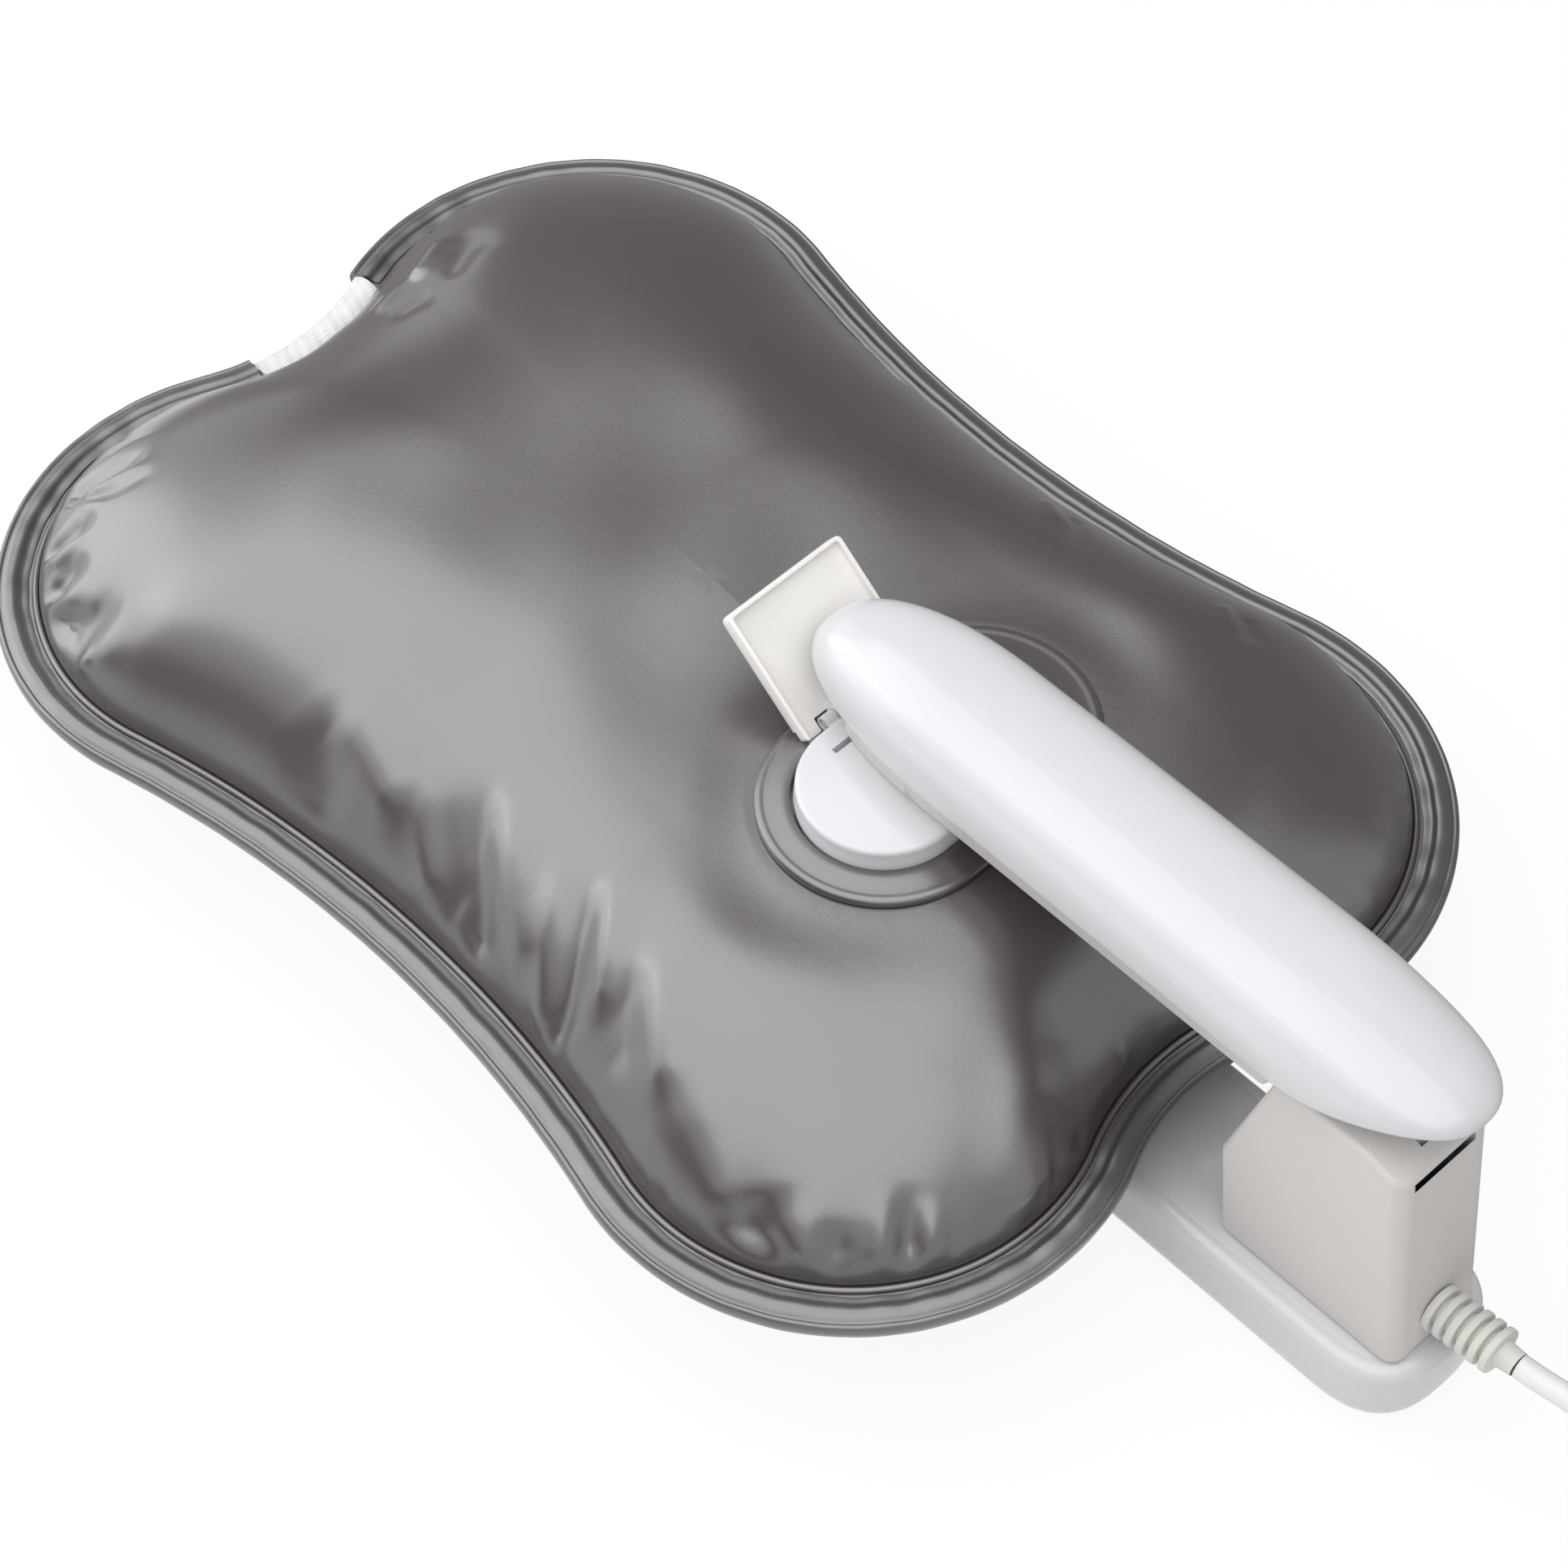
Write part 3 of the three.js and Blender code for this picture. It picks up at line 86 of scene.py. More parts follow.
CAMERA_PLACE = Vector((0.38168, -0.3847, 0.7607))
CAMERA_AIM = Vector((-0.00902, -0.0061, 0.035))
CAMERA_LENS = 102.5
SENSOR_WIDTH = 36

camera_data = bpy.data.cameras.new("camera")
camera_data.lens = CAMERA_LENS
camera_data.sensor_width = SENSOR_WIDTH
camera = add_object("camera", camera_data)
camera.location = CAMERA_PLACE
camera.rotation_euler = (CAMERA_AIM - CAMERA_PLACE).to_track_quat("-Z", "Y").to_euler()
bpy.context.scene.camera = camera
bpy.context.scene.view_settings.view_transform = "Standard"


# Modelling

def clamp(value):
    """The value held between 0 and 1."""
    return np.clip(value, 0, 1)


def ease(value):
    """The value held between 0 and 1, with soft ends."""
    held = clamp(value)
    return held * held * (3 - 2 * held)


def make_active(piece):
    bpy.ops.object.select_all(action="DESELECT")
    piece.select_set(True)
    bpy.context.view_layer.objects.active = piece


def add_piece(name, operator, **size):
    """A primitive at its size and place, with its place in its mesh."""
    bpy.ops.object.select_all(action="DESELECT")
    operator(**size)
    piece = bpy.context.active_object
    piece.name = name
    piece.data.name = name
    bpy.ops.object.transform_apply(location=True, rotation=True, scale=True)
    return piece


class Edit:
    """Edit mode on one piece, where its tools act on what is picked."""

    def __init__(self, piece):
        self.piece = piece

    def __enter__(self):
        make_active(self.piece)
        bpy.ops.object.mode_set(mode="EDIT")
        return self

    def __exit__(self, *_):
        bpy.ops.object.mode_set(mode="OBJECT")

    def pick(self, kind, wanted):
        """Selects the vertices, edges or faces that are wanted, and nothing else."""
        bpy.ops.mesh.select_mode(type=kind)
        bpy.ops.mesh.select_all(action="DESELECT")
        mesh = bmesh.from_edit_mesh(self.piece.data)
        parts = {"VERT": mesh.verts, "EDGE": mesh.edges, "FACE": mesh.faces}[kind]
        for part in parts:
            if wanted(part):
                part.select_set(True)
        mesh.select_flush_mode()
        bmesh.update_edit_mesh(self.piece.data)

    def all(self):
        bpy.ops.mesh.select_mode(type="VERT")
        bpy.ops.mesh.select_all(action="SELECT")

    def move(self, x=0, y=0, z=0):
        bpy.ops.transform.translate(value=(x, y, z))

    def resize(self, x, y, z, about):
        bpy.ops.transform.resize(value=(x, y, z), center_override=about)

    def draw_out(self, x=0, y=0, z=0):
        bpy.ops.mesh.extrude_region_move(TRANSFORM_OT_translate={"value": (x, y, z)})

    def clean(self):
        """Closes what a spin or a mirror leaves, and turns the faces outwards."""
        self.all()
        bpy.ops.mesh.remove_doubles(threshold=NEAR)
        bpy.ops.mesh.normals_make_consistent(inside=False)


def apply_modifiers(piece):
    make_active(piece)
    for modifier in list(piece.modifiers):
        bpy.ops.object.modifier_apply(modifier=modifier.name)


def round_edges(piece, width, segments=3, angle=30):
    """A bevel on every edge sharper than the angle."""
    bevel = piece.modifiers.new("rounding", "BEVEL")
    bevel.width = width
    bevel.segments = segments
    bevel.limit_method = "ANGLE"
    bevel.angle_limit = math.radians(angle)
    bevel.use_clamp_overlap = True
    apply_modifiers(piece)


def combine(piece, tools, operation):
    """Applies the tools' space to the piece, one after the other, and removes them."""
    for tool in tools:
        boolean = piece.modifiers.new("combine", "BOOLEAN")
        boolean.operation = operation
        boolean.solver = "EXACT"
        boolean.object = tool
        apply_modifiers(piece)
        bpy.data.objects.remove(tool)


def cut(piece, *tools):
    """The piece without the tools' space."""
    combine(piece, tools, "DIFFERENCE")


def join(piece, *tools):
    """The piece with the tools' space, in one."""
    combine(piece, tools, "UNION")


def smooth(piece, angle):
    """Smooth shading, but for the edges sharper than an angle in degrees."""
    make_active(piece)
    bpy.ops.object.shade_smooth_by_angle(angle=math.radians(angle))


def block(name, low, high):
    """A plain block between two corners, to be shaped."""
    size = [b - a for a, b in zip(low, high)]
    centre = [(a + b) / 2 for a, b in zip(low, high)]
    return add_piece(name, bpy.ops.mesh.primitive_cube_add, size=1, location=centre, scale=size)


ACROSS = ((1, 2), (0, 2), (0, 1))
ALONG = ((0, math.pi / 2, 0), (math.pi / 2, 0, 0), (0, 0, 0))


def rod(name, axis, start, end, centre, radius, sides=32):
    """A round bar along an axis, at its place across it."""
    place = [0, 0, 0]
    place[axis] = (start + end) / 2
    for i, value in zip(ACROSS[axis], centre):
        place[i] = value
    size = {"vertices": sides, "radius": radius, "depth": end - start}
    return add_piece(
        name, bpy.ops.mesh.primitive_cylinder_add, location=place, rotation=ALONG[axis], **size
    )


def flat_outline(name, outline, axis, level, fill="NGON"):
    """A circle whose points are moved onto an outline, square to an axis."""
    piece = add_piece(
        name, bpy.ops.mesh.primitive_circle_add, vertices=len(outline), radius=1, fill_type=fill
    )
    for vertex, point in zip(piece.data.vertices, outline):
        vertex.co[axis] = level
        for i, value in zip(ACROSS[axis], point):
            vertex.co[i] = value
    return piece


def drawn(name, outline, axis, start, end):
    """A flat outline, drawn out along an axis into a solid."""
    piece = flat_outline(name, outline, axis, start)
    with Edit(piece) as edit:
        edit.all()
        way = [0, 0, 0]
        way[axis] = end - start
        edit.draw_out(*way)
        edit.clean()
    return piece


def turned(name, profile, centre, axis="Z", steps=96):
    """A closed profile of (radius, height) points, spun once round an axis."""
    piece = flat_outline(name, [(0, 0)] * len(profile), 2, 0, "NOTHING")
    for vertex, (radius, height) in zip(piece.data.vertices, profile):
        offset = (radius, 0, height) if axis == "Z" else (height, 0, radius)
        vertex.co = Vector(centre) + Vector(offset)
    way = (0, 0, 1) if axis == "Z" else (1, 0, 0)
    with Edit(piece) as edit:
        edit.all()
        bpy.ops.mesh.spin(
            steps=steps, angle=math.tau, center=centre, axis=way, use_auto_merge=True
        )
        edit.clean()
    return piece


def pull_halves(piece, near, far):
    """Draws a turned piece's two halves apart, which makes its outline a stadium."""
    with Edit(piece) as edit:
        for side, offset in ((-1, near), (1, far)):
            edit.pick("VERT", lambda v: (v.co.y - PORT.y) * side > NEAR)
            edit.move(y=side * offset)


def pill_outline(front, rear, half_width, front_cap, rear_cap, corner=2.4, steps=40):
    """A long bar's outline: straight sides, and ends that are rounded by a superellipse."""

    def soft(value):
        return math.copysign(abs(value) ** (2 / corner), value)

    points = []
    for end, cap, side in ((rear, rear_cap, 1), (front, front_cap, -1)):
        for i in range(steps + 1):
            turn = math.pi * (i / steps - 0.5)
            x = end - side * cap * (1 - soft(math.cos(turn)))
            points.append((x, side * half_width * soft(math.sin(turn))))
    return points


def rounded_box(low, high, radius, steps=6):
    """A rectangle's outline with round corners."""
    points = []
    corners = ((high[0], high[1]), (low[0], high[1]), (low[0], low[1]), (high[0], low[1]))
    for quarter, (x, y) in enumerate(corners):
        turn_x = x - math.copysign(radius, x - (low[0] + high[0]) / 2)
        turn_y = y - math.copysign(radius, y - (low[1] + high[1]) / 2)
        for i in range(steps + 1):
            angle = math.pi / 2 * (quarter + i / steps)
            points.append((turn_x + radius * math.cos(angle), turn_y + radius * math.sin(angle)))
    return points


def draw_up(piece, levels, front_turn, rear_turn):
    """Draws a flat bar up through levels: a height, and shares of its width, front and rear."""
    with Edit(piece) as edit:
        edit.all()
        height, width, *reaches = levels[0]
        for new_height, new_width, *new_reaches in levels[1:]:
            edit.draw_out(z=new_height - height)
            edit.resize(1, new_width / width, 1, (0, 0, 0))

            def at_level(vertex):
                return abs(vertex.co.z - new_height) < NEAR

            ends = zip((front_turn, rear_turn), (-1, 1), new_reaches, reaches)
            for turn, side, new_reach, reach in ends:
                edit.pick("VERT", lambda v: at_level(v) and (v.co.x - turn) * side > NEAR / 10)
                edit.resize(new_reach / reach, 1, 1, (turn, 0, 0))
            edit.pick("VERT", at_level)
            height, width, reaches = new_height, new_width, new_reaches
        edit.clean()


def round_steps(steps):
    """The angles of a quarter turn, from 0 on."""
    return [math.pi / 2 * i / steps for i in range(steps + 1)]


def offsets(x, y, points):
    """Points that are given in millimetres from a place."""
    return [(x + a * MM, y + b * MM) for a, b in points]


# Finishes

class Value:
    """A shader socket that is used in an expression, which adds its Math nodes."""

    def __init__(self, tree, socket):
        self.tree = tree
        self.socket = socket

    def maths(self, operation, other):
        node = self.tree.node("ShaderNodeMath", {"operation": operation}, {0: self, 1: other})
        return Value(self.tree, node.outputs[0])

    def __add__(self, other):
        return self.maths("ADD", other)

    __radd__ = __add__

    def __mul__(self, other):
        return self.maths("MULTIPLY", other)

    __rmul__ = __mul__

    def __or__(self, other):
        return self.maths("MAXIMUM", other)


class Tree:
    """The nodes of a material or a world, which all come from one method."""

    def __init__(self, owner, cleared=True):
        owner.use_nodes = True
        self.tree = owner.node_tree
        if cleared:
            self.tree.nodes.clear()

    def node(self, kind, settings=None, inputs=None):
        """A node of a type, with its settings first and then its sockets' values or links."""
        made = self.tree.nodes.new(kind)
        for setting, value in (settings or {}).items():
            setattr(made, setting, value)
        for socket, value in (inputs or {}).items():
            if isinstance(value, Value):
                value = value.socket
            if isinstance(value, bpy.types.Node):
                value = value.outputs[0]
            if isinstance(value, bpy.types.NodeSocket):
                self.tree.links.new(value, made.inputs[socket])
            else:
                made.inputs[socket].default_value = value
        return made


class Finish(Tree):
    """One material, by its nodes."""

    def __init__(self, name, color, roughness, **sockets):
        self.material = bpy.data.materials.new(name)
        super().__init__(self.material, cleared=False)
        self.shader = self.tree.nodes["Principled BSDF"]
        self.shader.inputs["Base Color"].default_value = (*color, 1)
        self.shader.inputs["Roughness"].default_value = roughness
        for socket, value in sockets.items():
            self.shader.inputs[socket.replace("_", " ")].default_value = value
        self.color = color
        self.place = self.node("ShaderNodeTexCoord").outputs["Object"]

    def shade(self, socket, source):
        self.tree.links.new(source, self.shader.inputs[socket])

    def noise(self, scale, detail=2.0, stretch=(1, 1, 1)):
        """Soft noise with a number of cells to the metre."""
        mapped = self.node("ShaderNodeMapping", None, {"Vector": self.place, "Scale": stretch})
        inputs = {"Vector": mapped, "Scale": scale, "Detail": detail}
        return Value(self, self.node("ShaderNodeTexNoise", None, inputs).outputs[0])

    def tint(self, mask, other):
        """The base colour turns to the other colour where the mask is 1."""
        inputs = {0: mask, 6: (*self.color, 1), 7: (*other, 1)}
        mixed = self.node("ShaderNodeMix", {"data_type": "RGBA"}, inputs)
        self.shade("Base Color", mixed.outputs[2])

    def rough(self, value):
        self.shade("Roughness", value.socket)

    def bump(self, height, depth):
        """Relief of a depth in metres."""
        inputs = {"Height": height, "Distance": depth, "Strength": 1.0}
        self.shade("Normal", self.node("ShaderNodeBump", None, inputs).outputs[0])


SPARK_CELLS = 2600


def moulded(name, color, roughness, grain=0.000006, spread=0.06):
    """Moulded plastic: a fine spark texture and a slight cloudiness in its colour and gloss."""
    finish = Finish(name, color, roughness)
    cloud = finish.noise(22, 3)
    finish.tint(cloud, tuple(c * (1 - spread / 2) for c in color))
    finish.rough(roughness - spread / 2 + cloud * spread)
    finish.bump(finish.noise(SPARK_CELLS, 2), grain)
    return finish.material


def vinyl(name, color, shade, roughness, coat):
    """Satin vinyl: a fine pebbled grain, soft clouds of colour and a slightly uneven gloss."""
    gloss = {"Specular_IOR_Level": 0.9, "Coat_Weight": coat, "Coat_Roughness": roughness - 0.04}
    finish = Finish(name, color, roughness, IOR=1.6, **gloss)
    cloud = finish.noise(30, 4)
    finish.tint(cloud, shade)
    finish.rough(roughness - 0.05 + cloud * 0.1)
    grain = finish.noise(1500, 3)
    patches = finish.noise(160, 2)
    finish.bump(grain * 0.55 + patches * 0.45, 0.00005)
    return finish.material


def metal(name, color, roughness, stretch=(1, 1, 1)):
    """Bare metal with fine drawn lines."""
    finish = Finish(name, color, roughness, Metallic=1.0)
    lines = finish.noise(900, 2, stretch)
    finish.rough(roughness - 0.08 + lines * 0.16)
    finish.bump(lines, 0.000004)
    return finish.material


def woven(name, color, roughness):
    """A close satin weave: fine threads one way over finer ones the other way."""
    finish = Finish(name, color, roughness, Sheen_Weight=0.2)

    def threads(way, scale, distortion):
        settings = {"wave_type": "BANDS", "bands_direction": way}
        inputs = {"Vector": finish.place, "Scale": scale, "Distortion": distortion}
        wave = finish.node("ShaderNodeTexWave", settings, inputs)
        return Value(finish, wave.outputs["Fac"])

    weave = threads("Y", 420.0, 0.6) * 0.6 + threads("X", 300.0, 0.4) * 0.4
    finish.tint(weave, tuple(c * 0.9 for c in color))
    finish.bump(weave, 0.00006)
    return finish.material


def clear(name):
    """The water and its bladder, which nothing outside shows."""
    finish = Finish(name, (0.42, 0.55, 0.62), 0.18)
    finish.bump(finish.noise(60, 2), 0.0002)
    return finish.material


FINISHES = {
    "vinyl_grey": vinyl("bag_vinyl", (0.046, 0.035, 0.041), (0.037, 0.029, 0.033), 0.31, 1.0),
    "binding_grey": vinyl("binding_vinyl", (0.046, 0.043, 0.044), (0.036, 0.034, 0.034), 0.35, 0.9),
    "white_gloss": moulded("white_gloss", (0.62, 0.62, 0.645), 0.2, 0.000002, 0.04),
    "white_matte": moulded("white_matte", (0.61, 0.585, 0.57), 0.5),
    "lid_cream": moulded("lid_cream", (0.86, 0.84, 0.81), 0.34),
    "relief_grey": moulded("relief_grey", (0.66, 0.65, 0.61), 0.6),
    "cord_white": moulded("cord_white", (0.78, 0.78, 0.77), 0.42),
    "inner_plastic": moulded("inner_plastic", (0.62, 0.58, 0.48), 0.5),
    "graphite": moulded("graphite", (0.035, 0.035, 0.038), 0.55, 0.00001),
    "brass": metal("brass", (0.78, 0.58, 0.27), 0.3, (1, 1, 0.05)),
    "steel": metal("steel", (0.58, 0.58, 0.6), 0.34, (0.05, 1, 1)),
    "label_white": woven("label_white", (0.7, 0.7, 0.72), 0.5),
    "water": clear("water"),
}
SLOT_OF = {part["node"]: part["material_slot"] for part in frame["record"]["subparts"]}
for node_name, slot_name in SLOT_OF.items():
    for material_slot in NODES[node_name].material_slots:
        material_slot.material = FINISHES[slot_name]


def settle(piece, body, node, *more_nodes, angle=None):
    """Smooths a piece, gives it its finish, and sets its body and the CAD nodes it stands for."""
    if angle:
        smooth(piece, angle)
    piece.data.materials.clear()
    piece.data.materials.append(FINISHES[SLOT_OF[node]])
    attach(piece, body)
    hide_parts(node, *more_nodes)
    return piece


# Cord: out of the relief, down to the table, into a flat coil and on to the plug

CORD_WIDTH = 5 * MM
LEAD_START = LEAD_LOW.x
LEAD_END = LEAD_HIGH.x - CORD_WIDTH / 2
COIL_LOW_Z = 3.6
COIL_PITCH = 5.5
COIL_TURNS = 3
COIL_INNER = 19.25
COIL_CENTRE_Y = 60
COIL_STEPS = 36
CLIMB_TURN = 0.5
ROUTE_STEPS = 5
RELIEF_LIFT = 0.9 * MM
RELIEF_LEAN = 0.7 * MM
# Millimetres from the start and from the end of the lead, across and up
ROUTE_FROM_START = (
    (0, 0.7, 29.9), (5, 1.2, 29.9), (11, 2.2, 29.6), (18, 3.2, 28.5), (26, 4.4, 25.4),
    (35, 5.8, 20.4), (44, 7.4, 14.4), (53, 10, 8.9), (62, 13.6, 5.3),
)
ROUTE_FROM_END = (
    (-16, 19, 4), (-9.5, 26.5, 3.6), (-4.8, 35, 3.6), (-1.6, 43, 3.6), (-0.2, 49.5, 3.6),
    (0, 54.7, 3.6),
)

def smooth_route(points, steps):
    """A smooth curve through the points, which keeps its bends between near points small."""
    ends = [2 * points[0] - points[1], *points, 2 * points[-1] - points[-2]]
    curve = []
    for a, b, c, d in zip(ends, ends[1:], ends[2:], ends[3:]):
        t1 = math.sqrt((b - a).length)
        t2 = t1 + math.sqrt((c - b).length)
        t3 = t2 + math.sqrt((d - c).length)
        for step in range(steps):
            t = t1 + (t2 - t1) * step / steps
            ab = a.lerp(b, t / t1)
            bc = b.lerp(c, (t - t1) / (t2 - t1))
            cd = c.lerp(d, (t - t2) / (t3 - t2))
            abc = ab.lerp(bc, t / t2)
            bcd = bc.lerp(cd, (t - t1) / (t3 - t1))
            curve.append(abc.lerp(bcd, (t - t1) / (t2 - t1)))
    return [*curve, points[-1]]


def cord_line():
    """The cord's centreline from the relief to the plug."""
    lead = [Vector((LEAD_START + x * MM, y * MM, z * MM)) for x, y, z in ROUTE_FROM_START]
    lead += [Vector((LEAD_END + x * MM, y * MM, z * MM)) for x, y, z in ROUTE_FROM_END]
    line = smooth_route(lead, ROUTE_STEPS)
    centre_x = LEAD_END - (COIL_INNER + COIL_PITCH * COIL_TURNS) * MM
    for i in range(2 * COIL_TURNS * COIL_STEPS + 1):
        turn = i / COIL_STEPS
        back = turn - COIL_TURNS
        radius = (COIL_INNER + COIL_PITCH * abs(back)) * MM
        x = centre_x + radius * math.cos(math.tau * turn)
        y = COIL_CENTRE_Y * MM + radius * math.sin(math.tau * turn)
        z = COIL_LOW_Z + COIL_PITCH * ease(back / CLIMB_TURN + 0.5)
        line.append(Vector((x, y, z * MM)))
    plug_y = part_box("mains_plug_body")[0].y
    top_z = (COIL_LOW_Z + COIL_PITCH) * MM
    first_y = (COIL_CENTRE_Y + 5) * MM
    for i in range(ROUTE_STEPS + 1):
        line.append(Vector((LEAD_END, first_y + (plug_y - first_y) * i / ROUTE_STEPS, top_z)))
    return line


def cord_piece(line):
    """The cord: a curve along the line, as thick as the cord."""
    curve = bpy.data.curves.new("mains_cord", "CURVE")
    curve.dimensions = "3D"
    curve.bevel_depth = CORD_WIDTH / 2
    curve.bevel_resolution = 4
    curve.use_fill_caps = True
    spline = curve.splines.new("POLY")
    spline.points.add(len(line) - 1)
    for point, place in zip(spline.points, line):
        point.co = (*place, 1)
    return add_object("mains_cord", curve)


mains_line = cord_line()
mains_cord = settle(cord_piece(mains_line), "root", "cord_lead", "cord_coil", "cord_tail")
CORD_LENGTH = sum((b - a).length for a, b in zip(mains_line, mains_line[1:]))


# Light, floor and background

ROOM_LIGHT = 0.3
FLOOR_GLOW = 0.9
CARD_TINT = (1, 0.96, 0.97, 1)
LIT_POINT = Vector((0, 0, 0.04))


def seen_ray(tree):
    """1 for a ray from the camera, off gloss or through a clear face, and else 0."""
    rays = tree.node("ShaderNodeLightPath").outputs
    camera_ray, gloss_ray, clear_ray = (
        Value(tree, rays[f"Is {kind} Ray"]) for kind in ("Camera", "Glossy", "Transmission")
    )
    return camera_ray | (gloss_ray | clear_ray)


def world_light():
    """A plain pale room: white to the camera and to gloss, and dimmer light on the rest."""
    world = bpy.data.worlds.new("room")
    bpy.context.scene.world = world
    tree = Tree(world)
    light = tree.node("ShaderNodeMix", None, {0: seen_ray(tree), 2: ROOM_LIGHT, 3: 1.0})
    room = tree.node("ShaderNodeBackground", None, {"Color": (1, 1, 1, 1), "Strength": light})
    tree.node("ShaderNodeOutputWorld", None, {"Surface": room})


def surface(piece, name, build):
    """Gives a piece that isn't of the object a material whose shader is built on an empty tree."""
    material = bpy.data.materials.new(name)
    tree = Tree(material)
    tree.node("ShaderNodeOutputMaterial", None, {"Surface": build(tree)})
    piece.data.materials.append(material)


def floor_shader(tree):
    """A matte floor that shines a little where a ray from the camera meets it."""
    matte = tree.node("ShaderNodeBsdfDiffuse", None, {"Color": (0.9, 0.9, 0.9, 1)})
    glow = tree.node("ShaderNodeEmission", None, {"Strength": 1.0})
    share = seen_ray(tree) * FLOOR_GLOW
    return tree.node("ShaderNodeMixShader", None, {0: share, 1: matte, 2: glow})


def floor_piece():
    """A pale floor that shows as white, with a faint shadow where the object stands."""
    floor = add_piece(
        "floor", bpy.ops.mesh.primitive_plane_add, size=6, location=(0, 0, -0.05 * MM)
    )
    surface(floor, "pale_floor", floor_shader)


def facing(direction, distance, level=(1, 0, 0)):
    """A place whose Z points along a direction, with X as near a level line as it can be."""
    ahead = Vector(direction).normalized()
    line = Vector(level)
    along = (line - ahead * line.dot(ahead)).normalized()
    turn = Matrix((along, ahead.cross(along), ahead)).transposed()
    return Matrix.Translation(LIT_POINT + turn.col[2] * distance) @ turn.to_4x4()


def softbox(name, place, width, height, radiance):
    """A large soft lamp that looks at the bag's middle."""
    lamp = bpy.data.lights.new(name, "AREA")
    lamp.shape = "RECTANGLE"
    lamp.size = width
    lamp.size_y = height
    lamp.energy = radiance * math.pi * width * height
    add_object(name, lamp).matrix_world = place


def grey_card(name, place, width, height, strength):
    """A grey card, which only glossy surfaces see."""
    card = add_piece(name, bpy.ops.mesh.primitive_plane_add, size=1)
    card.data.transform(place @ Matrix.Diagonal((width, height, 1, 1)))
    card.visible_camera = False
    card.visible_diffuse = False
    card.visible_shadow = False
    glow = {"Color": CARD_TINT, "Strength": strength}
    surface(card, name, lambda tree: tree.node("ShaderNodeEmission", None, glow))


world_light()
floor_piece()
softbox("key_light", facing((-0.09, -0.267, 0.96), 1.15), 2.95, 1.7, 1.8)
side_place = facing((-0.87, -0.46, 0.22), 1.25, level=(0.46, -0.87, 0))
softbox("side_light", side_place, 1.25, 0.85, 1.8)
grey_card("far_card", facing((-0.25, 0.84, 0.42), 1.3), 3.2, 1.5, 0.3)
grey_card("near_card", facing((-0.15, -0.97, 0.04), 1.3), 2.4, 0.64, 0.12)
grey_card("ground_card", Matrix.Translation((-0.3, 0.62, -0.02 * MM)), 2.4, 1.2, 0.3)


# The bag, whose own lengths are in millimetres from its middle

LOBE_RADIUS = 59.0
HALF_LENGTH = 145.0
HALF_WIDTH = 104.0
WAIST_SHARE = 0.1755
END_SHARE = 0.56
SEAM_HEIGHT = 35.0
CROWN = 38.0
BELLY = 38.0
OVER_JAW = 20.9
JAW_CLEAR = 0.8
JAW_SLOPE = 7.0
JAW_CORNER = 2.4
JAW_FRONT = 40.0
SKIN = 1.2
RIM_WIDTH = 8.0
LOBE_X = HALF_LENGTH - LOBE_RADIUS
LOBE_Y = HALF_WIDTH - LOBE_RADIUS
DEEPEST_HOLLOWS = (LOBE_X**2 / (2 * LOBE_RADIUS), LOBE_Y**2 / (2 * LOBE_RADIUS))
HALF_WAIST = HALF_WIDTH - WAIST_SHARE * DEEPEST_HOLLOWS[0]
HALF_END = HALF_LENGTH - END_SHARE * DEEPEST_HOLLOWS[1]
PORT_X = (PORT.x - BAG_MIDDLE) / MM
SEAT_HEIGHT = FLANGE_LOW.z / MM - 0.3
SEAT_MARGIN = 2.0
SEAT_RUN = 30.0
SEAT_RUN_LEFT = 22.0
SEAT_REACH = 40.0
SEAT_CROSS = 45.0
SEAT_FALL = 0.09
FLANGE_RADIUS = 25.0
LOBE_OFFSET = 13.0
BEAD_WIDTH = 1.5
BEAD_RISE = 0.85
BEAD_STEPS = 8
TAB_INSET = 1.9
TAB_LOW = 0.15
TAB_TOP = 0.95
CROWN_INSET = RIM_WIDTH + BEAD_WIDTH
CROWN_FOOT = 1.3
PLUMP_DEPTH = 58.0
PLUMP_RISE = 2.2
FAR = 1e9
# Steps of an outline's quarter: along its end, its lobe and its side
COARSE_STEPS = (20, 80, 40)
ARC_STEPS = (14, 109, 57)
FINE_STEPS = (20, 152, 78)
# Rings of a skin, as shares from its middle to its foot, closer together near the foot
CENTRE_SHARES = np.linspace(0.02, 0.74, 36, endpoint=False)
EDGE_SHARES = 1 - np.linspace(1, 0, 46) ** 1.45 * 0.26
SHARES = np.concatenate([CENTRE_SHARES, EDGE_SHARES])


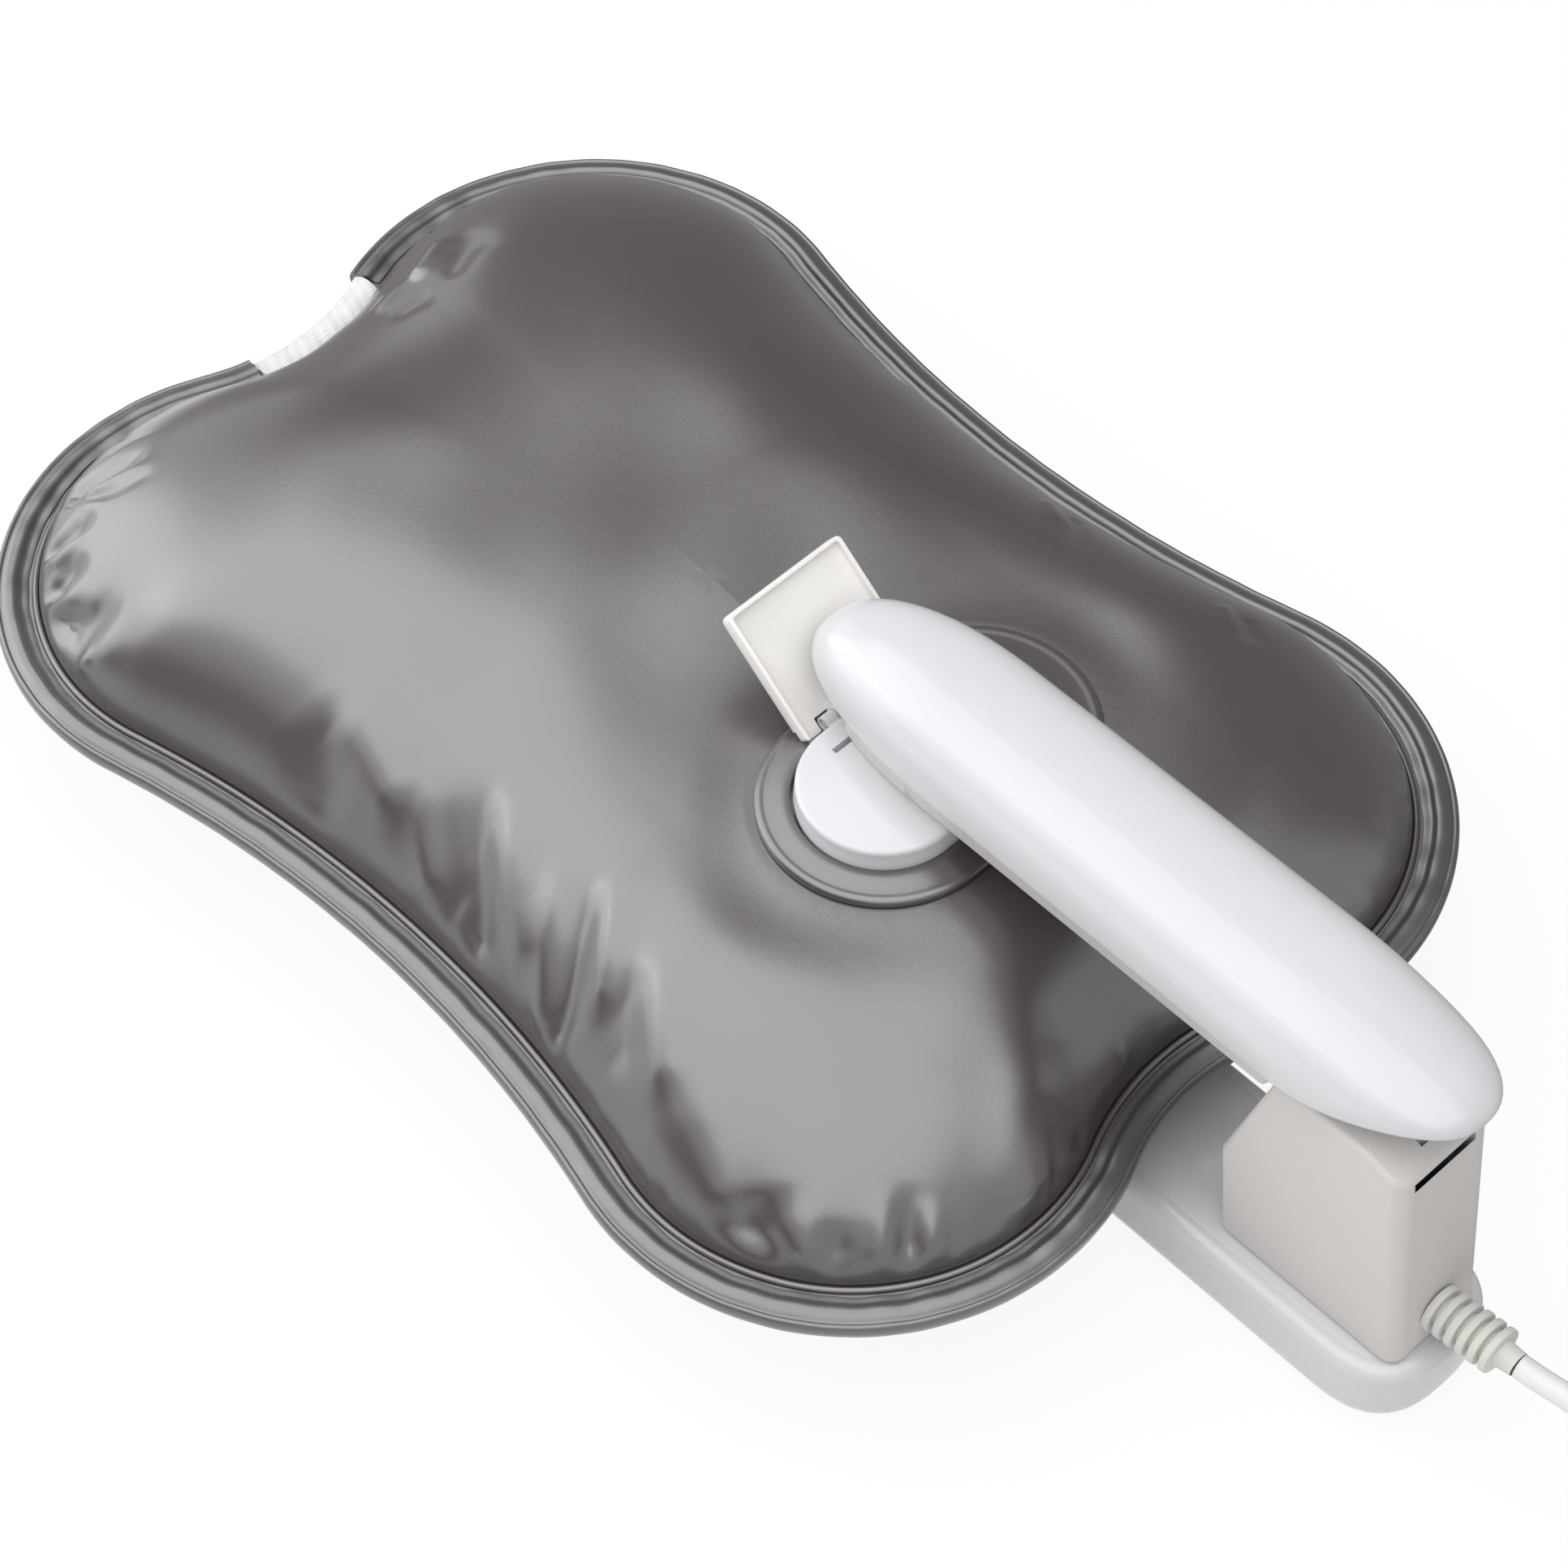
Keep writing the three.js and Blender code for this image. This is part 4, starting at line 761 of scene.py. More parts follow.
def bag_outline(inset, steps=ARC_STEPS):
    """Points round the bag: four round lobes, joined by hollow arcs at the waist and the ends."""
    side_gap = LOBE_RADIUS - HALF_WAIST
    end_gap = LOBE_RADIUS - HALF_END
    square = LOBE_X**2 + LOBE_Y**2
    side_centre = (square - side_gap**2) / (2 * (side_gap + LOBE_Y))
    end_centre = (square - end_gap**2) / (2 * (end_gap + LOBE_X))
    side_radius = side_centre - HALF_WAIST + inset
    end_radius = end_centre - HALF_END + inset
    end_turn = math.atan2(LOBE_Y, LOBE_X - end_centre)
    side_turn = math.atan2(LOBE_Y - side_centre, LOBE_X)

    def arc(x, y, radius, start, stop, count):
        turn = start + (stop - start) * np.arange(count) / count
        return np.stack([x + radius * np.cos(turn), y + radius * np.sin(turn)], 1)

    lobe_turns = (end_turn - math.pi, side_turn + math.pi)
    quarter = np.concatenate([
        arc(end_centre, 0, end_radius, math.pi, end_turn, steps[0]),
        arc(LOBE_X, LOBE_Y, LOBE_RADIUS - inset, *lobe_turns, steps[1]),
        arc(0, side_centre, side_radius, side_turn, -math.pi / 2, steps[2]),
        [[0, side_centre - side_radius]],
    ])
    inner = quarter[1:-1]
    return np.concatenate([
        quarter,
        inner[::-1] * [-1, 1],
        quarter[:1] * [-1, -1],
        inner * [-1, -1],
        quarter[-1:] * [1, -1],
        inner[::-1] * [1, -1],
    ])


def from_port(x, y):
    """How far a point lies outside the flange, in plan."""
    along = np.maximum(0, np.abs(y) - LOBE_OFFSET)
    return np.hypot(x - PORT_X, along) - FLANGE_RADIUS


def grid_normals(points):
    """Unit normals of a grid of points, whose second direction closes on itself."""
    down = np.gradient(points, axis=0)
    round_ = (np.roll(points, -1, 1) - np.roll(points, 1, 1)) / 2
    normal = np.cross(down, round_)
    length = np.linalg.norm(normal, axis=2, keepdims=True)
    return normal / np.maximum(length, 1e-9)


def mesh_piece(name, points, faces):
    """A mesh from points in the bag's millimetres."""
    mesh = bpy.data.meshes.new(name)
    placed = np.asarray(points) * MM
    placed[:, 0] += BAG_MIDDLE
    mesh.from_pydata(placed.tolist(), [], faces)
    piece = add_object(name, mesh)
    with Edit(piece) as edit:
        edit.clean()
    return piece


def ring_faces(rings, sides):
    """Quads between rings of points that close on themselves."""
    faces = []
    for a in range(0, (rings - 1) * sides, sides):
        b = a + sides
        for i in range(sides):
            j = (i + 1) % sides
            faces.append((a + i, a + j, b + j, b + i))
    return faces


def segment_place(x, y, start, end):
    """How far points lie from a line between two points, and where along it."""
    dx, dy = end[0] - start[0], end[1] - start[1]
    share = clamp(((x - start[0]) * dx + (y - start[1]) * dy) / (dx * dx + dy * dy))
    return np.hypot(x - start[0] - share * dx, y - start[1] - share * dy), share


def seam_depth(x, y):
    """How far points lie inside the foot of the crown."""
    foot = bag_outline(CROWN_INSET, COARSE_STEPS)
    depth = np.full(x.shape, FAR)
    for start, end in zip(foot, np.roll(foot, -1, 0)):
        depth = np.minimum(depth, segment_place(x, y, start, end)[0])
    return depth


def crowned(share, x, y):
    """The upper skin's height: a full crown that falls steeply to the seam, flat round the port."""
    inward = np.where(share >= 1, 1, clamp(1 - seam_depth(x, y) / PLUMP_DEPTH))
    plump = (1 - inward**2.8) ** 0.72
    domed = (1 - clamp(share) ** 3.6) ** 0.74
    rise = (CROWN - CROWN_FOOT) * (plump - domed)
    crown = CROWN_FOOT + (CROWN - CROWN_FOOT) * domed + PLUMP_RISE * np.tanh(rise / PLUMP_RISE)
    away = from_port(x, y) - SEAT_MARGIN
    run = SEAT_RUN + SEAT_RUN_LEFT * ease((PORT_X + 5 - x) / SEAT_REACH)
    flat = 1 - ease(away / run)
    fall = SEAT_FALL * np.clip(away, 0, SEAT_REACH) * clamp(np.abs(y) / SEAT_CROSS)
    seat = SEAT_HEIGHT - fall
    return (SEAM_HEIGHT + crown) * (1 - flat) + seat * flat


def from_jaw(x, y):
    """Roughly how far a point lies outside the jaw, in plan."""
    half = JAW_HIGH.y / MM
    turn = (JAW_LOW.x - BAG_MIDDLE) / MM + JAW_FRONT
    along = np.maximum(0, turn - x) / JAW_FRONT
    across = np.abs(y) / half
    return ((along**JAW_CORNER + across**JAW_CORNER) ** (1 / JAW_CORNER) - 1) * half


def bellied(share, x, y):
    """The lower skin's height: flat on the table, and lifted over the jaw."""
    belly = BELLY * (1 - clamp(share) ** 4) ** 0.6
    height = SEAM_HEIGHT - np.minimum(SEAM_HEIGHT, np.maximum(0.2, belly))
    over = OVER_JAW * (1 - ease((from_jaw(x, y) - JAW_CLEAR) / JAW_SLOPE))
    return np.maximum(height, over)


def fold(x, y, points, width, rise):
    """A soft fold along given points: it starts full and runs out at its far end."""
    lengths = [math.hypot(b[0] - a[0], b[1] - a[1]) for a, b in zip(points, points[1:])]
    total = sum(lengths)
    nearest = np.full(x.shape, FAR)
    along = np.zeros(x.shape)
    before = 0
    for a, b, length in zip(points, points[1:], lengths):
        distance, share = segment_place(x, y, a, b)
        closer = distance < nearest
        along = np.where(closer, (before + share * length) / total, along)
        nearest = np.minimum(nearest, distance)
        before += length
    spread = width * (0.75 + 0.6 * along)
    strength = ease((1 - along) / 0.55)
    return rise * strength * np.exp(-((nearest / spread) ** 2))


# Each fold: its points in plan from the seam inwards, its half width and its height, or depth
FOLDS = (
    (((-127, -64), (-125, -58), (-122, -51), (-116, -46)), 1.6, 0.55),
    (((-124, -66), (-120, -60), (-117, -54), (-115, -50)), 1.8, -1.4),
    (((-120, -66), (-117, -62), (-112, -56), (-110, -50)), 1.5, 0.6),
    (((-123, -69), (-114, -64), (-107, -56)), 1.3, -0.9),
    (((-124, -70), (-116, -67), (-112, -65)), 1.6, 0.4),
    (((-119, -79), (-116, -74), (-112, -69)), 2.4, -2.0),
    (((-118, -82), (-114, -80), (-112, -76), (-111, -70)), 1.8, 0.9),
    (((-111, -87), (-109, -84), (-107, -76)), 3.0, -2.1),
    (((-109, -88), (-104, -86), (-100, -81)), 2.0, 0.6),
    (((-104, -91), (-94, -88), (-90, -82), (-87, -78)), 4.2, -2.3),
    (((-96, -93), (-88, -90), (-81, -84)), 4.0, 0.8),
    (((-92, -94), (-90, -92), (-88, -90)), 1.5, 0.8),
    (((-15, -74), (-25, -71), (-36, -69), (-42, -68)), 6, 1.3),
    (((-28, -80), (-35, -77), (-41, -74)), 7, -0.9),
    (((19, -81), (9, -72), (2, -64), (-1, -60)), 4.0, -1.3),
    (((29, -79), (18, -71), (9, -64), (3, -59)), 4.0, 0.9),
    (((10, -79), (1, -73), (-6, -69)), 3.5, -0.7),
    (((2, -79), (-6, -72), (-14, -67)), 3.5, 0.6),
    (((45, -83), (40, -75), (35, -66), (31, -59)), 4.2, -1.6),
    (((51, -76), (44, -68), (37, -60), (33, -55)), 4.5, 1.2),
    (((40, -83), (35, -76), (30, -69), (25, -64)), 4.0, 0.9),
    (((72, -80), (63, -73), (56, -68), (50, -64)), 5.5, 1.3),
    (((62, -81), (56, -75), (51, -70)), 5, -0.8),
    (((93, -88), (84, -82), (76, -76)), 6, 0.8),
    (((108, -90), (103, -87), (99, -83)), 5.5, -1.9),
    (((114, -86), (109, -83), (104, -80)), 5, 0.9),
    (((125, -76), (122, -71), (117, -65)), 3.6, 0.9),
    (((129, -72), (125, -68), (119, -62)), 2.8, -1.7),
    (((131, -68), (127, -64), (123, -60)), 3.6, 0.8),
    (((136, -58), (133, -53), (130, -47)), 3, -1.0),
    (((138, -50), (134, -46), (130, -40), (125, -33)), 2.6, 0.9),
    (((120, -82), (117, -79), (114, -76)), 2.6, -0.8),
    (((133, -50), (127, -41), (121, -33), (113, -26), (103, -20)), 6.5, 1.5),
    (((127, -12), (123, -7)), 1.2, 0.6),
    (((130, -12), (124, -5)), 1.5, -0.5),
    (((134, -29), (130, -22)), 1.5, 0.5),
    (((-114, 22), (-117, 29), (-118, 37)), 3.5, 1.6),
    (((-106, 25), (-109, 31), (-111, 39)), 4, -1.0),
    (((-114, 11), (-115, 16), (-112, 19)), 2.8, 1.1),
    (((-106, 10), (-105, 14), (-103, 19)), 3, -0.7),
    (((28, 69), (36, 64)), 2.0, 0.7),
    (((35, 70), (45, 60)), 2.0, -0.6),
    (((73, 73), (79, 68)), 2.0, 0.7),
    (((78, 75), (83, 70)), 2.0, -0.6),
)


GATHER_SEED = 11
GATHER_LENGTH = 870.0
# The spans of a pucker's spacing, half width, reach, rise and lean
GATHER_SPANS = ((6, 19), (1.6, 3.8), (6, 17), (-0.75, 0.55), (-0.5, 0.5))


def gathers(around, depth, strength):
    """Small puckers that run in from the seam, uneven in place, length and height."""
    rng = np.random.default_rng(GATHER_SEED)
    half = GATHER_LENGTH / 2
    lift = np.zeros(around.shape)
    place = 0.0
    while place < GATHER_LENGTH:
        spacing, width, reach, rise, lean = [rng.uniform(*span) for span in GATHER_SPANS]
        place += spacing
        offset = (around * GATHER_LENGTH - place - depth * lean + half) % GATHER_LENGTH - half
        run = clamp(depth / reach)
        shape = ease((depth + 0.3) / 2.2) * (1 - ease(run))
        lift += rise * shape * np.exp(-((offset / (width * (0.8 + 0.7 * run))) ** 2))
    return lift * strength


CALM_RUN = 14.0
EDGE_RUN = 3.5
SWELL = 0.8
# Each swell: its height, its run lengthways and across, and where it starts
SWELLS = (
    (0.28, 17.0, 31.0, 0.6),
    (0.22, 11.0, -13.0, 2.1),
    (0.16, 41.0, 9.0, 4.0),
    (0.1, 6.1, 7.3, 1.0),
)


def swells(x, y):
    """Gentle unevenness of a skin that is stretched over water."""
    return sum(rise * np.sin(x / long + y / wide + turn) for rise, long, wide, turn in SWELLS)


def wrinkles(top):
    """How far each point of the upper skin stands above or below its smooth form.

    The puckers are weaker at the waist and along the near side, most of all at its left.
    """
    x, y = top[..., 0], top[..., 1]
    seam = top[-1, :, :2]
    depth = np.hypot(x - seam[None, :, 0], y - seam[None, :, 1])
    around = np.repeat(np.arange(top.shape[1])[None] / top.shape[1], top.shape[0], 0)
    calm = ease(from_port(x, y) / CALM_RUN)
    edge = ease(depth / EDGE_RUN)
    waist = clamp(1 - np.abs(seam[:, 0]) / 60)
    near = clamp((-seam[:, 1] - 50) / 20)
    left = clamp((-seam[:, 0] - 15) / 30)
    strength = ((1 - 0.6 * waist) * (1 - (0.55 + 0.4 * left) * near))[None]
    lift = gathers(around, depth, strength) + SWELL * swells(x, y) * edge
    for points, width, rise in FOLDS:
        lift += fold(x, y, points, width, rise) * edge
    return lift * calm * ease(depth / 1.2)


def skin_grid(height):
    """Rings of points over a skin, from its middle to its foot at the seam."""
    foot = bag_outline(CROWN_INSET, FINE_STEPS)
    plan = foot[None] * SHARES[:, None, None]
    share = np.repeat(SHARES[:, None], len(foot), 1)
    return np.dstack([plan, height(share, plan[..., 0], plan[..., 1])])


def upper_grid():
    """The wrinkled upper skin's points, and its unit normals."""
    top = skin_grid(crowned)
    normal = grid_normals(top)
    normal *= np.sign(normal[..., 2:3] + 1e-9)
    return top + normal * wrinkles(top)[..., None], normal


def close_skin(name, rings):
    """A closed mesh from rings that start and end at the bag's middle."""
    sides = len(rings[0])
    faces = ring_faces(len(rings), sides)
    first = len(rings) * sides
    last = first - sides
    ends = [[0, 0, rings[0][:, 2].mean()], [0, 0, rings[-1][:, 2].mean()]]
    for i in range(sides):
        j = (i + 1) % sides
        faces.append((first, j, i))
        faces.append((first + 1, last + i, last + j))
    piece = mesh_piece(name, np.concatenate([*rings, ends]), faces)
    smooth(piece, 70)
    return piece


def ring_at(inset, height):
    """A level ring of points, at an inset from the bag's edge."""
    outline = bag_outline(inset, FINE_STEPS)
    return np.column_stack([outline, np.full(len(outline), height)])


def skin_piece(name, rings, grid, side):
    """A skin from its outer rings: its flat tab and its inner face close it."""
    rings.append(ring_at(TAB_INSET, SEAM_HEIGHT + side * TAB_TOP))
    rings.append(ring_at(TAB_INSET, SEAM_HEIGHT + side * TAB_LOW))
    rings.append(ring_at(CROWN_INSET + SKIN, SEAM_HEIGHT + side * TAB_LOW))
    inner = bag_outline(CROWN_INSET + SKIN, FINE_STEPS)
    for row in range(len(SHARES) - 6, 0, -8):
        rings.append(np.column_stack([inner * SHARES[row], grid[row, :, 2] - side * SKIN]))
    return close_skin(name, rings)


def bead_rings(sides):
    """The rings of the weld's bead, from the crown's foot to the tab."""
    place = np.arange(sides)
    wave = np.sin(place * 0.11) * np.sin(place * 0.037 + 1)
    rings = []
    for i in range(1, BEAD_STEPS + 1):
        turn = math.pi * i / BEAD_STEPS
        inset = RIM_WIDTH + BEAD_WIDTH * (1 + math.cos(turn)) / 2
        foot = CROWN_FOOT + (TAB_TOP - CROWN_FOOT) * i / BEAD_STEPS
        ring = ring_at(inset, SEAM_HEIGHT + foot + BEAD_RISE * math.sin(turn))
        ring[:, 2] += 0.12 * wave * math.sin(turn)
        rings.append(ring)
    return rings


WATER_DEPTH = 2.6
WATER_LIFT = 2.2
WATER_SHARE = 0.985


def water_piece():
    """The water in its bladder, just inside the skins, with room for the port and the heater."""
    keep = range(0, len(SHARES) - 3, 3)
    every = slice(0, None, 4)
    rings = [(top_grid[row] - top_normal[row] * WATER_DEPTH)[every] for row in keep]
    rings += [low_grid[row][every] + [0, 0, WATER_LIFT] for row in reversed(keep)]
    for ring in rings:
        ring[:, :2] *= WATER_SHARE
    piece = close_skin("water_filling", rings)
    room = 0.4 * MM
    chamber_low, chamber_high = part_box("heater_chamber")
    gap = Vector((room, room, room))
    above = (chamber_high.x + room, chamber_high.y + room, SOCKET_HIGH.z)
    cut(piece, block("heater_room", chamber_low - gap, above))
    return piece


top_grid, top_normal = upper_grid()
low_grid = skin_grid(bellied)
bag_top = skin_piece(
    "bag_top_skin", [*top_grid, *bead_rings(top_grid.shape[1])], top_grid, 1
)
settle(bag_top, "root", "bag_upper_panel")
bag_under = skin_piece(
    "bag_under_skin", [*low_grid, ring_at(RIM_WIDTH, SEAM_HEIGHT - TAB_TOP)], low_grid, -1
)
settle(bag_under, "root", "bag_lower_panel")
water = settle(water_piece(), "root", "water_bladder")


# The arm's cover: a long glossy dome

ARM_WALL = 2 * MM
ARM_RIM = COVER_LOW.z
ARM_HEIGHT = COVER_HIGH.z - COVER_LOW.z
ARM_FRONT_CAP = 40 * MM
ARM_REAR_CAP = 45 * MM
ARM_FRONT_TURN = COVER_LOW.x + ARM_FRONT_CAP
ARM_REAR_TURN = COVER_HIGH.x - ARM_REAR_CAP
STERN_RUN = 34 * MM
STERN_RISE = 7 * MM
NOSE_RUN = 62 * MM
NOSE_LEAN = 2.2 * MM
NOSE_NARROWS = 0.1
COVER_WIDE = 1.02
COVER_LEAN = 0.85
# How fast the dome narrows and shortens towards its top
DOME_NARROWS = 0.56
DOME_SHORTENS = 0.8


def arm_dome(name, inset, base, fill):
    """The dome of the arm, inset by a wall, with its foot at a base."""
    outline = pill_outline(
        COVER_LOW.x + inset,
        COVER_HIGH.x - inset,
        COVER_HIGH.y - inset,
        ARM_FRONT_CAP - inset,
        ARM_REAR_CAP - inset,
    )
    piece = flat_outline(name, outline, 2, base, fill)
    levels = [(base, 1, 1, 1)] if base < ARM_RIM else []
    for turn in round_steps(18):
        height = ARM_RIM + (ARM_HEIGHT - inset) * math.sin(turn)
        reach = math.cos(turn) ** DOME_SHORTENS
        levels.append((height, math.cos(turn) ** DOME_NARROWS, reach, reach))
    draw_up(piece, levels, ARM_FRONT_TURN, ARM_REAR_TURN)
    for vertex in piece.data.vertices:
        stern = ease((vertex.co.x - COVER_HIGH.x + STERN_RUN) / STERN_RUN)
        vertex.co.z += STERN_RISE * stern * (1 - clamp((vertex.co.z - ARM_RIM) / ARM_HEIGHT))
        nose = ease(1 - (vertex.co.x - COVER_LOW.x) / NOSE_RUN)
        lean = NOSE_LEAN * (COVER_LEAN + NOSE_NARROWS * nose)
        vertex.co.y = vertex.co.y * (COVER_WIDE - NOSE_NARROWS * nose) + lean
    return piece


arm_cover = arm_dome("arm_top_cover", 0, ARM_RIM, "NOTHING")
wall = arm_cover.modifiers.new("wall", "SOLIDIFY")
wall.thickness = ARM_WALL
wall.offset = -1
apply_modifiers(arm_cover)
round_edges(arm_cover, 0.45 * MM, 3, 50)
settle(arm_cover, "arm", "arm_cover", angle=50)


# The arm's lower shell, with its step over the housing and its hinge lug

HINGE_X, _, HINGE_Z = middle_of("arm_hinge_pin")
ARM_BASE = SOCKET_HIGH.z + ROOM
ARM_STEP = 4.7 * MM
STEP_FRONT = HOUSING_LOW.x + 4.4 * MM
BODY_HALF = BODY_HIGH.y


def arm_body_piece():
    """A bar under the dome, stepped over the housing, swept up at its rear, with a hinge foot."""
    top = ARM_RIM + ARM_HEIGHT
    outline = pill_outline(BODY_LOW.x, BODY_HIGH.x + 2 * MM, BODY_HALF, 9 * MM, 24 * MM)
    piece = drawn("arm_lower_shell", outline, 2, ARM_BASE, top)
    under = block(
        "under",
        (STEP_FRONT, -2 * BODY_HALF, ARM_BASE - 10 * MM),
        (BODY_HIGH.x + 20 * MM, 2 * BODY_HALF, ARM_BASE + ARM_STEP),
    )
    with Edit(under) as edit:
        edit.pick("VERT", lambda v: v.co.x < STEP_FRONT + NEAR and v.co.z > ARM_BASE)
        edit.move(x=ARM_STEP)
    cut(piece, under)
    round_edges(piece, 1.1 * MM, 3, 40)
    space = arm_dome("space", ARM_WALL + ROOM, ARM_BASE - 8 * MM, "NGON")
    combine(piece, [space], "INTERSECT")
    low = ARM_BASE + ARM_STEP - 1 * MM
    stern = COVER_HIGH.x - STERN_RUN
    swept = ARM_RIM + STERN_RISE
    tuck = [
        (stern - 2 * MM, low),
        (COVER_HIGH.x + 5 * MM, low),
        (COVER_HIGH.x + 5 * MM, swept + 1.2 * MM),
        (stern + 26 * MM, swept - 0.2 * MM),
        (stern + 17 * MM, ARM_RIM + STERN_RISE / 2 + 0.8 * MM),
        (stern + 8 * MM, ARM_RIM + 0.2 * MM),
    ]
    cut(piece, drawn("tuck", tuck, 1, -2 * BODY_HALF, 2 * BODY_HALF))
    half = 2.8 * MM
    foot_low = (HINGE_X - 3.4 * MM, -half, HINGE_Z)
    foot = block("foot", foot_low, (HINGE_X + 3 * MM, half, ARM_RIM + 6.5 * MM))
    join(piece, foot, rod("barrel", 1, -half, half, (HINGE_X, HINGE_Z), 5 * MM, 48))
    cut(piece, rod("bore", 1, -2 * half, 2 * half, (HINGE_X, HINGE_Z), 1.7 * MM))
    return piece


settle(arm_body_piece(), "arm", "arm_body", angle=35)


# The housing: a leaning box with a roof that slopes off at the rear

HOUSING_HALF = HOUSING_HIGH.y
HOUSING_WALL = 2 * MM
HOUSING_FRONT = HOUSING_LOW.x
HOUSING_REAR = HOUSING_HIGH.x
HOUSING_BASE = HOUSING_LOW.z
HOUSING_TOP = HOUSING_HIGH.z
HOUSING_KNEE = HOUSING_BASE + 26 * MM
FRONT_FOOT = HOUSING_FRONT + 2.6 * MM
FRONT_HEAD = HOUSING_FRONT + 10 * MM
RELIEF_Z = (RELIEF_LOW.z + RELIEF_HIGH.z) / 2


def housing_profile(inward=0.0, base=HOUSING_BASE):
    """The housing from the side, or its hollow."""
    roof = HOUSING_TOP - 0.9 * inward
    return [
        (FRONT_FOOT + inward, base),
        (HOUSING_FRONT + inward, HOUSING_KNEE),
        (FRONT_HEAD + inward, roof),
        (HOUSING_REAR - 14.7 * MM - inward, roof),
        (HOUSING_REAR - 5.7 * MM - inward, HOUSING_TOP - 3 * MM),
        (HOUSING_REAR - inward, base),
    ]


def housing_piece():
    """The housing: hollow, and open towards the jaw, the hinge, the plunger and the cord."""
    piece = drawn("clip_housing", housing_profile(), 1, -HOUSING_HALF, HOUSING_HALF)

    def upright(edge):
        ends = [v.co for v in edge.verts]
        at_rear = min(e.x for e in ends) > HOUSING_REAR - 7 * MM
        return at_rear and abs(ends[0].z - ends[1].z) > 20 * MM

    with Edit(piece) as edit:
        edit.pick("EDGE", upright)
        bpy.ops.mesh.bevel(offset=3.4 * MM, segments=8, affect="EDGES")
        edit.clean()
    round_edges(piece, 1.3 * MM, 4, 25)
    inner = HOUSING_HALF - HOUSING_WALL
    below = HOUSING_BASE - 5 * MM
    above = HOUSING_TOP + 1 * MM
    ahead = HOUSING_WALL + ROOM
    deck = HOUSING_TOP - 1.8 * MM
    throat = [
        (FRONT_FOOT - ahead, below),
        (FRONT_FOOT + ahead, below),
        (HOUSING_FRONT + ahead, HOUSING_KNEE),
        (FRONT_HEAD + ahead, deck),
        (FRONT_HEAD - ahead, deck),
        (HOUSING_FRONT - ahead, HOUSING_KNEE),
    ]
    slit = ((2, -5.2), (2, -1.9), (-7, -4.2), (-12, -16), (-12, -32), (-5.2, -5.4))
    slit = offsets(HOUSING_REAR, HOUSING_TOP, slit)
    lug_low = (HINGE_X - 5.6 * MM, -3 * MM, HINGE_Z)
    plunger = middle_of("switch_plunger").xy
    cord_span = (HOUSING_REAR - 8 * MM, HOUSING_REAR + 2 * MM)
    cut(
        piece,
        drawn("hollow", housing_profile(HOUSING_WALL, below), 1, -inner, inner),
        drawn("throat", throat, 1, -inner, inner),
        block("lug_room", lug_low, (HINGE_X + 5.15 * MM, 3 * MM, above)),
        rod("plunger_hole", 2, deck - 1 * MM, above, plunger, 1.8 * MM),
        drawn("slit", slit, 1, -8.9 * MM, 7.8 * MM),
        rod("cord_hole", 0, *cord_span, (0, RELIEF_Z), 3.9 * MM),
    )
    return piece


settle(housing_piece(), "root", "housing_shell", angle=28)


# The jaw: a boat-shaped shell with a flat deck let into its top

JAW_TOP = JAW_HIGH.z
JAW_HALF = JAW_HIGH.y
JAW_FRONT_CAP = JAW_FRONT * MM
JAW_REAR_CAP = 19.5 * MM
JAW_REAR = JAW_HIGH.x - 2.8 * MM
JAW_FRONT_TURN = JAW_LOW.x + JAW_FRONT_CAP
JAW_REAR_TURN = JAW_REAR - JAW_REAR_CAP
JAW_BILGE = 8 * MM
JAW_ROUND = 3 * MM
JAW_SQUARE = 2.7
# Shares of the ends' reach, and of the width, that the flat foot has
FRONT_FOOT_SHARE = 1 - 11 / JAW_FRONT
REAR_FOOT_SHARE = 0.45
WIDTH_FOOT_SHARE = 1 - JAW_BILGE / JAW_HALF
SCREWS = ("jaw_screw_1", "jaw_screw_2")


def jaw_outline(inset):
    """The jaw seen from above, or its hollow."""
    ends = (JAW_LOW.x + inset, JAW_REAR - inset)
    caps = (JAW_FRONT_CAP - inset, JAW_REAR_CAP - inset)
    return pill_outline(*ends, JAW_HALF - inset, *caps, JAW_SQUARE)


def jaw_piece():
    """A hull that widens from a flat foot, with its rim rounded and its inside cut out."""
    piece = flat_outline("lower_jaw", jaw_outline(0), 2, 0)
    foot = (WIDTH_FOOT_SHARE, FRONT_FOOT_SHARE, REAR_FOOT_SHARE)
    with Edit(piece) as edit:
        edit.all()
        edit.resize(1, WIDTH_FOOT_SHARE, 1, (0, 0, 0))
        for turn, side, reach in ((JAW_FRONT_TURN, -1, foot[1]), (JAW_REAR_TURN, 1, foot[2])):
            edit.pick("VERT", lambda v: (v.co.x - turn) * side > NEAR / 10)
            edit.resize(reach, 1, 1, (turn, 0, 0))
    levels = [(0, *foot)]
    for turn in round_steps(10)[1:]:
        height = JAW_BILGE * (1 - math.cos(turn))
        levels.append((height, *(1 - (1 - share) * (1 - math.sin(turn)) for share in foot)))
    for turn in round_steps(6):
        inset = JAW_ROUND * (1 - math.cos(turn))
        shares = [1 - inset / reach for reach in (JAW_HALF, JAW_FRONT_CAP, JAW_REAR_CAP)]
        levels.append((JAW_TOP - JAW_ROUND * (1 - math.sin(turn)), *shares))
    draw_up(piece, levels, JAW_FRONT_TURN, JAW_REAR_TURN)
    mouth = drawn("mouth", jaw_outline(3.3 * MM), 2, 3 * MM, JAW_TOP + 1 * MM)
    with Edit(mouth) as edit:
        edit.pick("VERT", lambda v: v.co.z < 4 * MM)
        edit.resize(0.92, 0.6, 1, ((JAW_LOW.x + JAW_HIGH.x) / 2, 0, 0))
    cut(piece, mouth)
    return piece


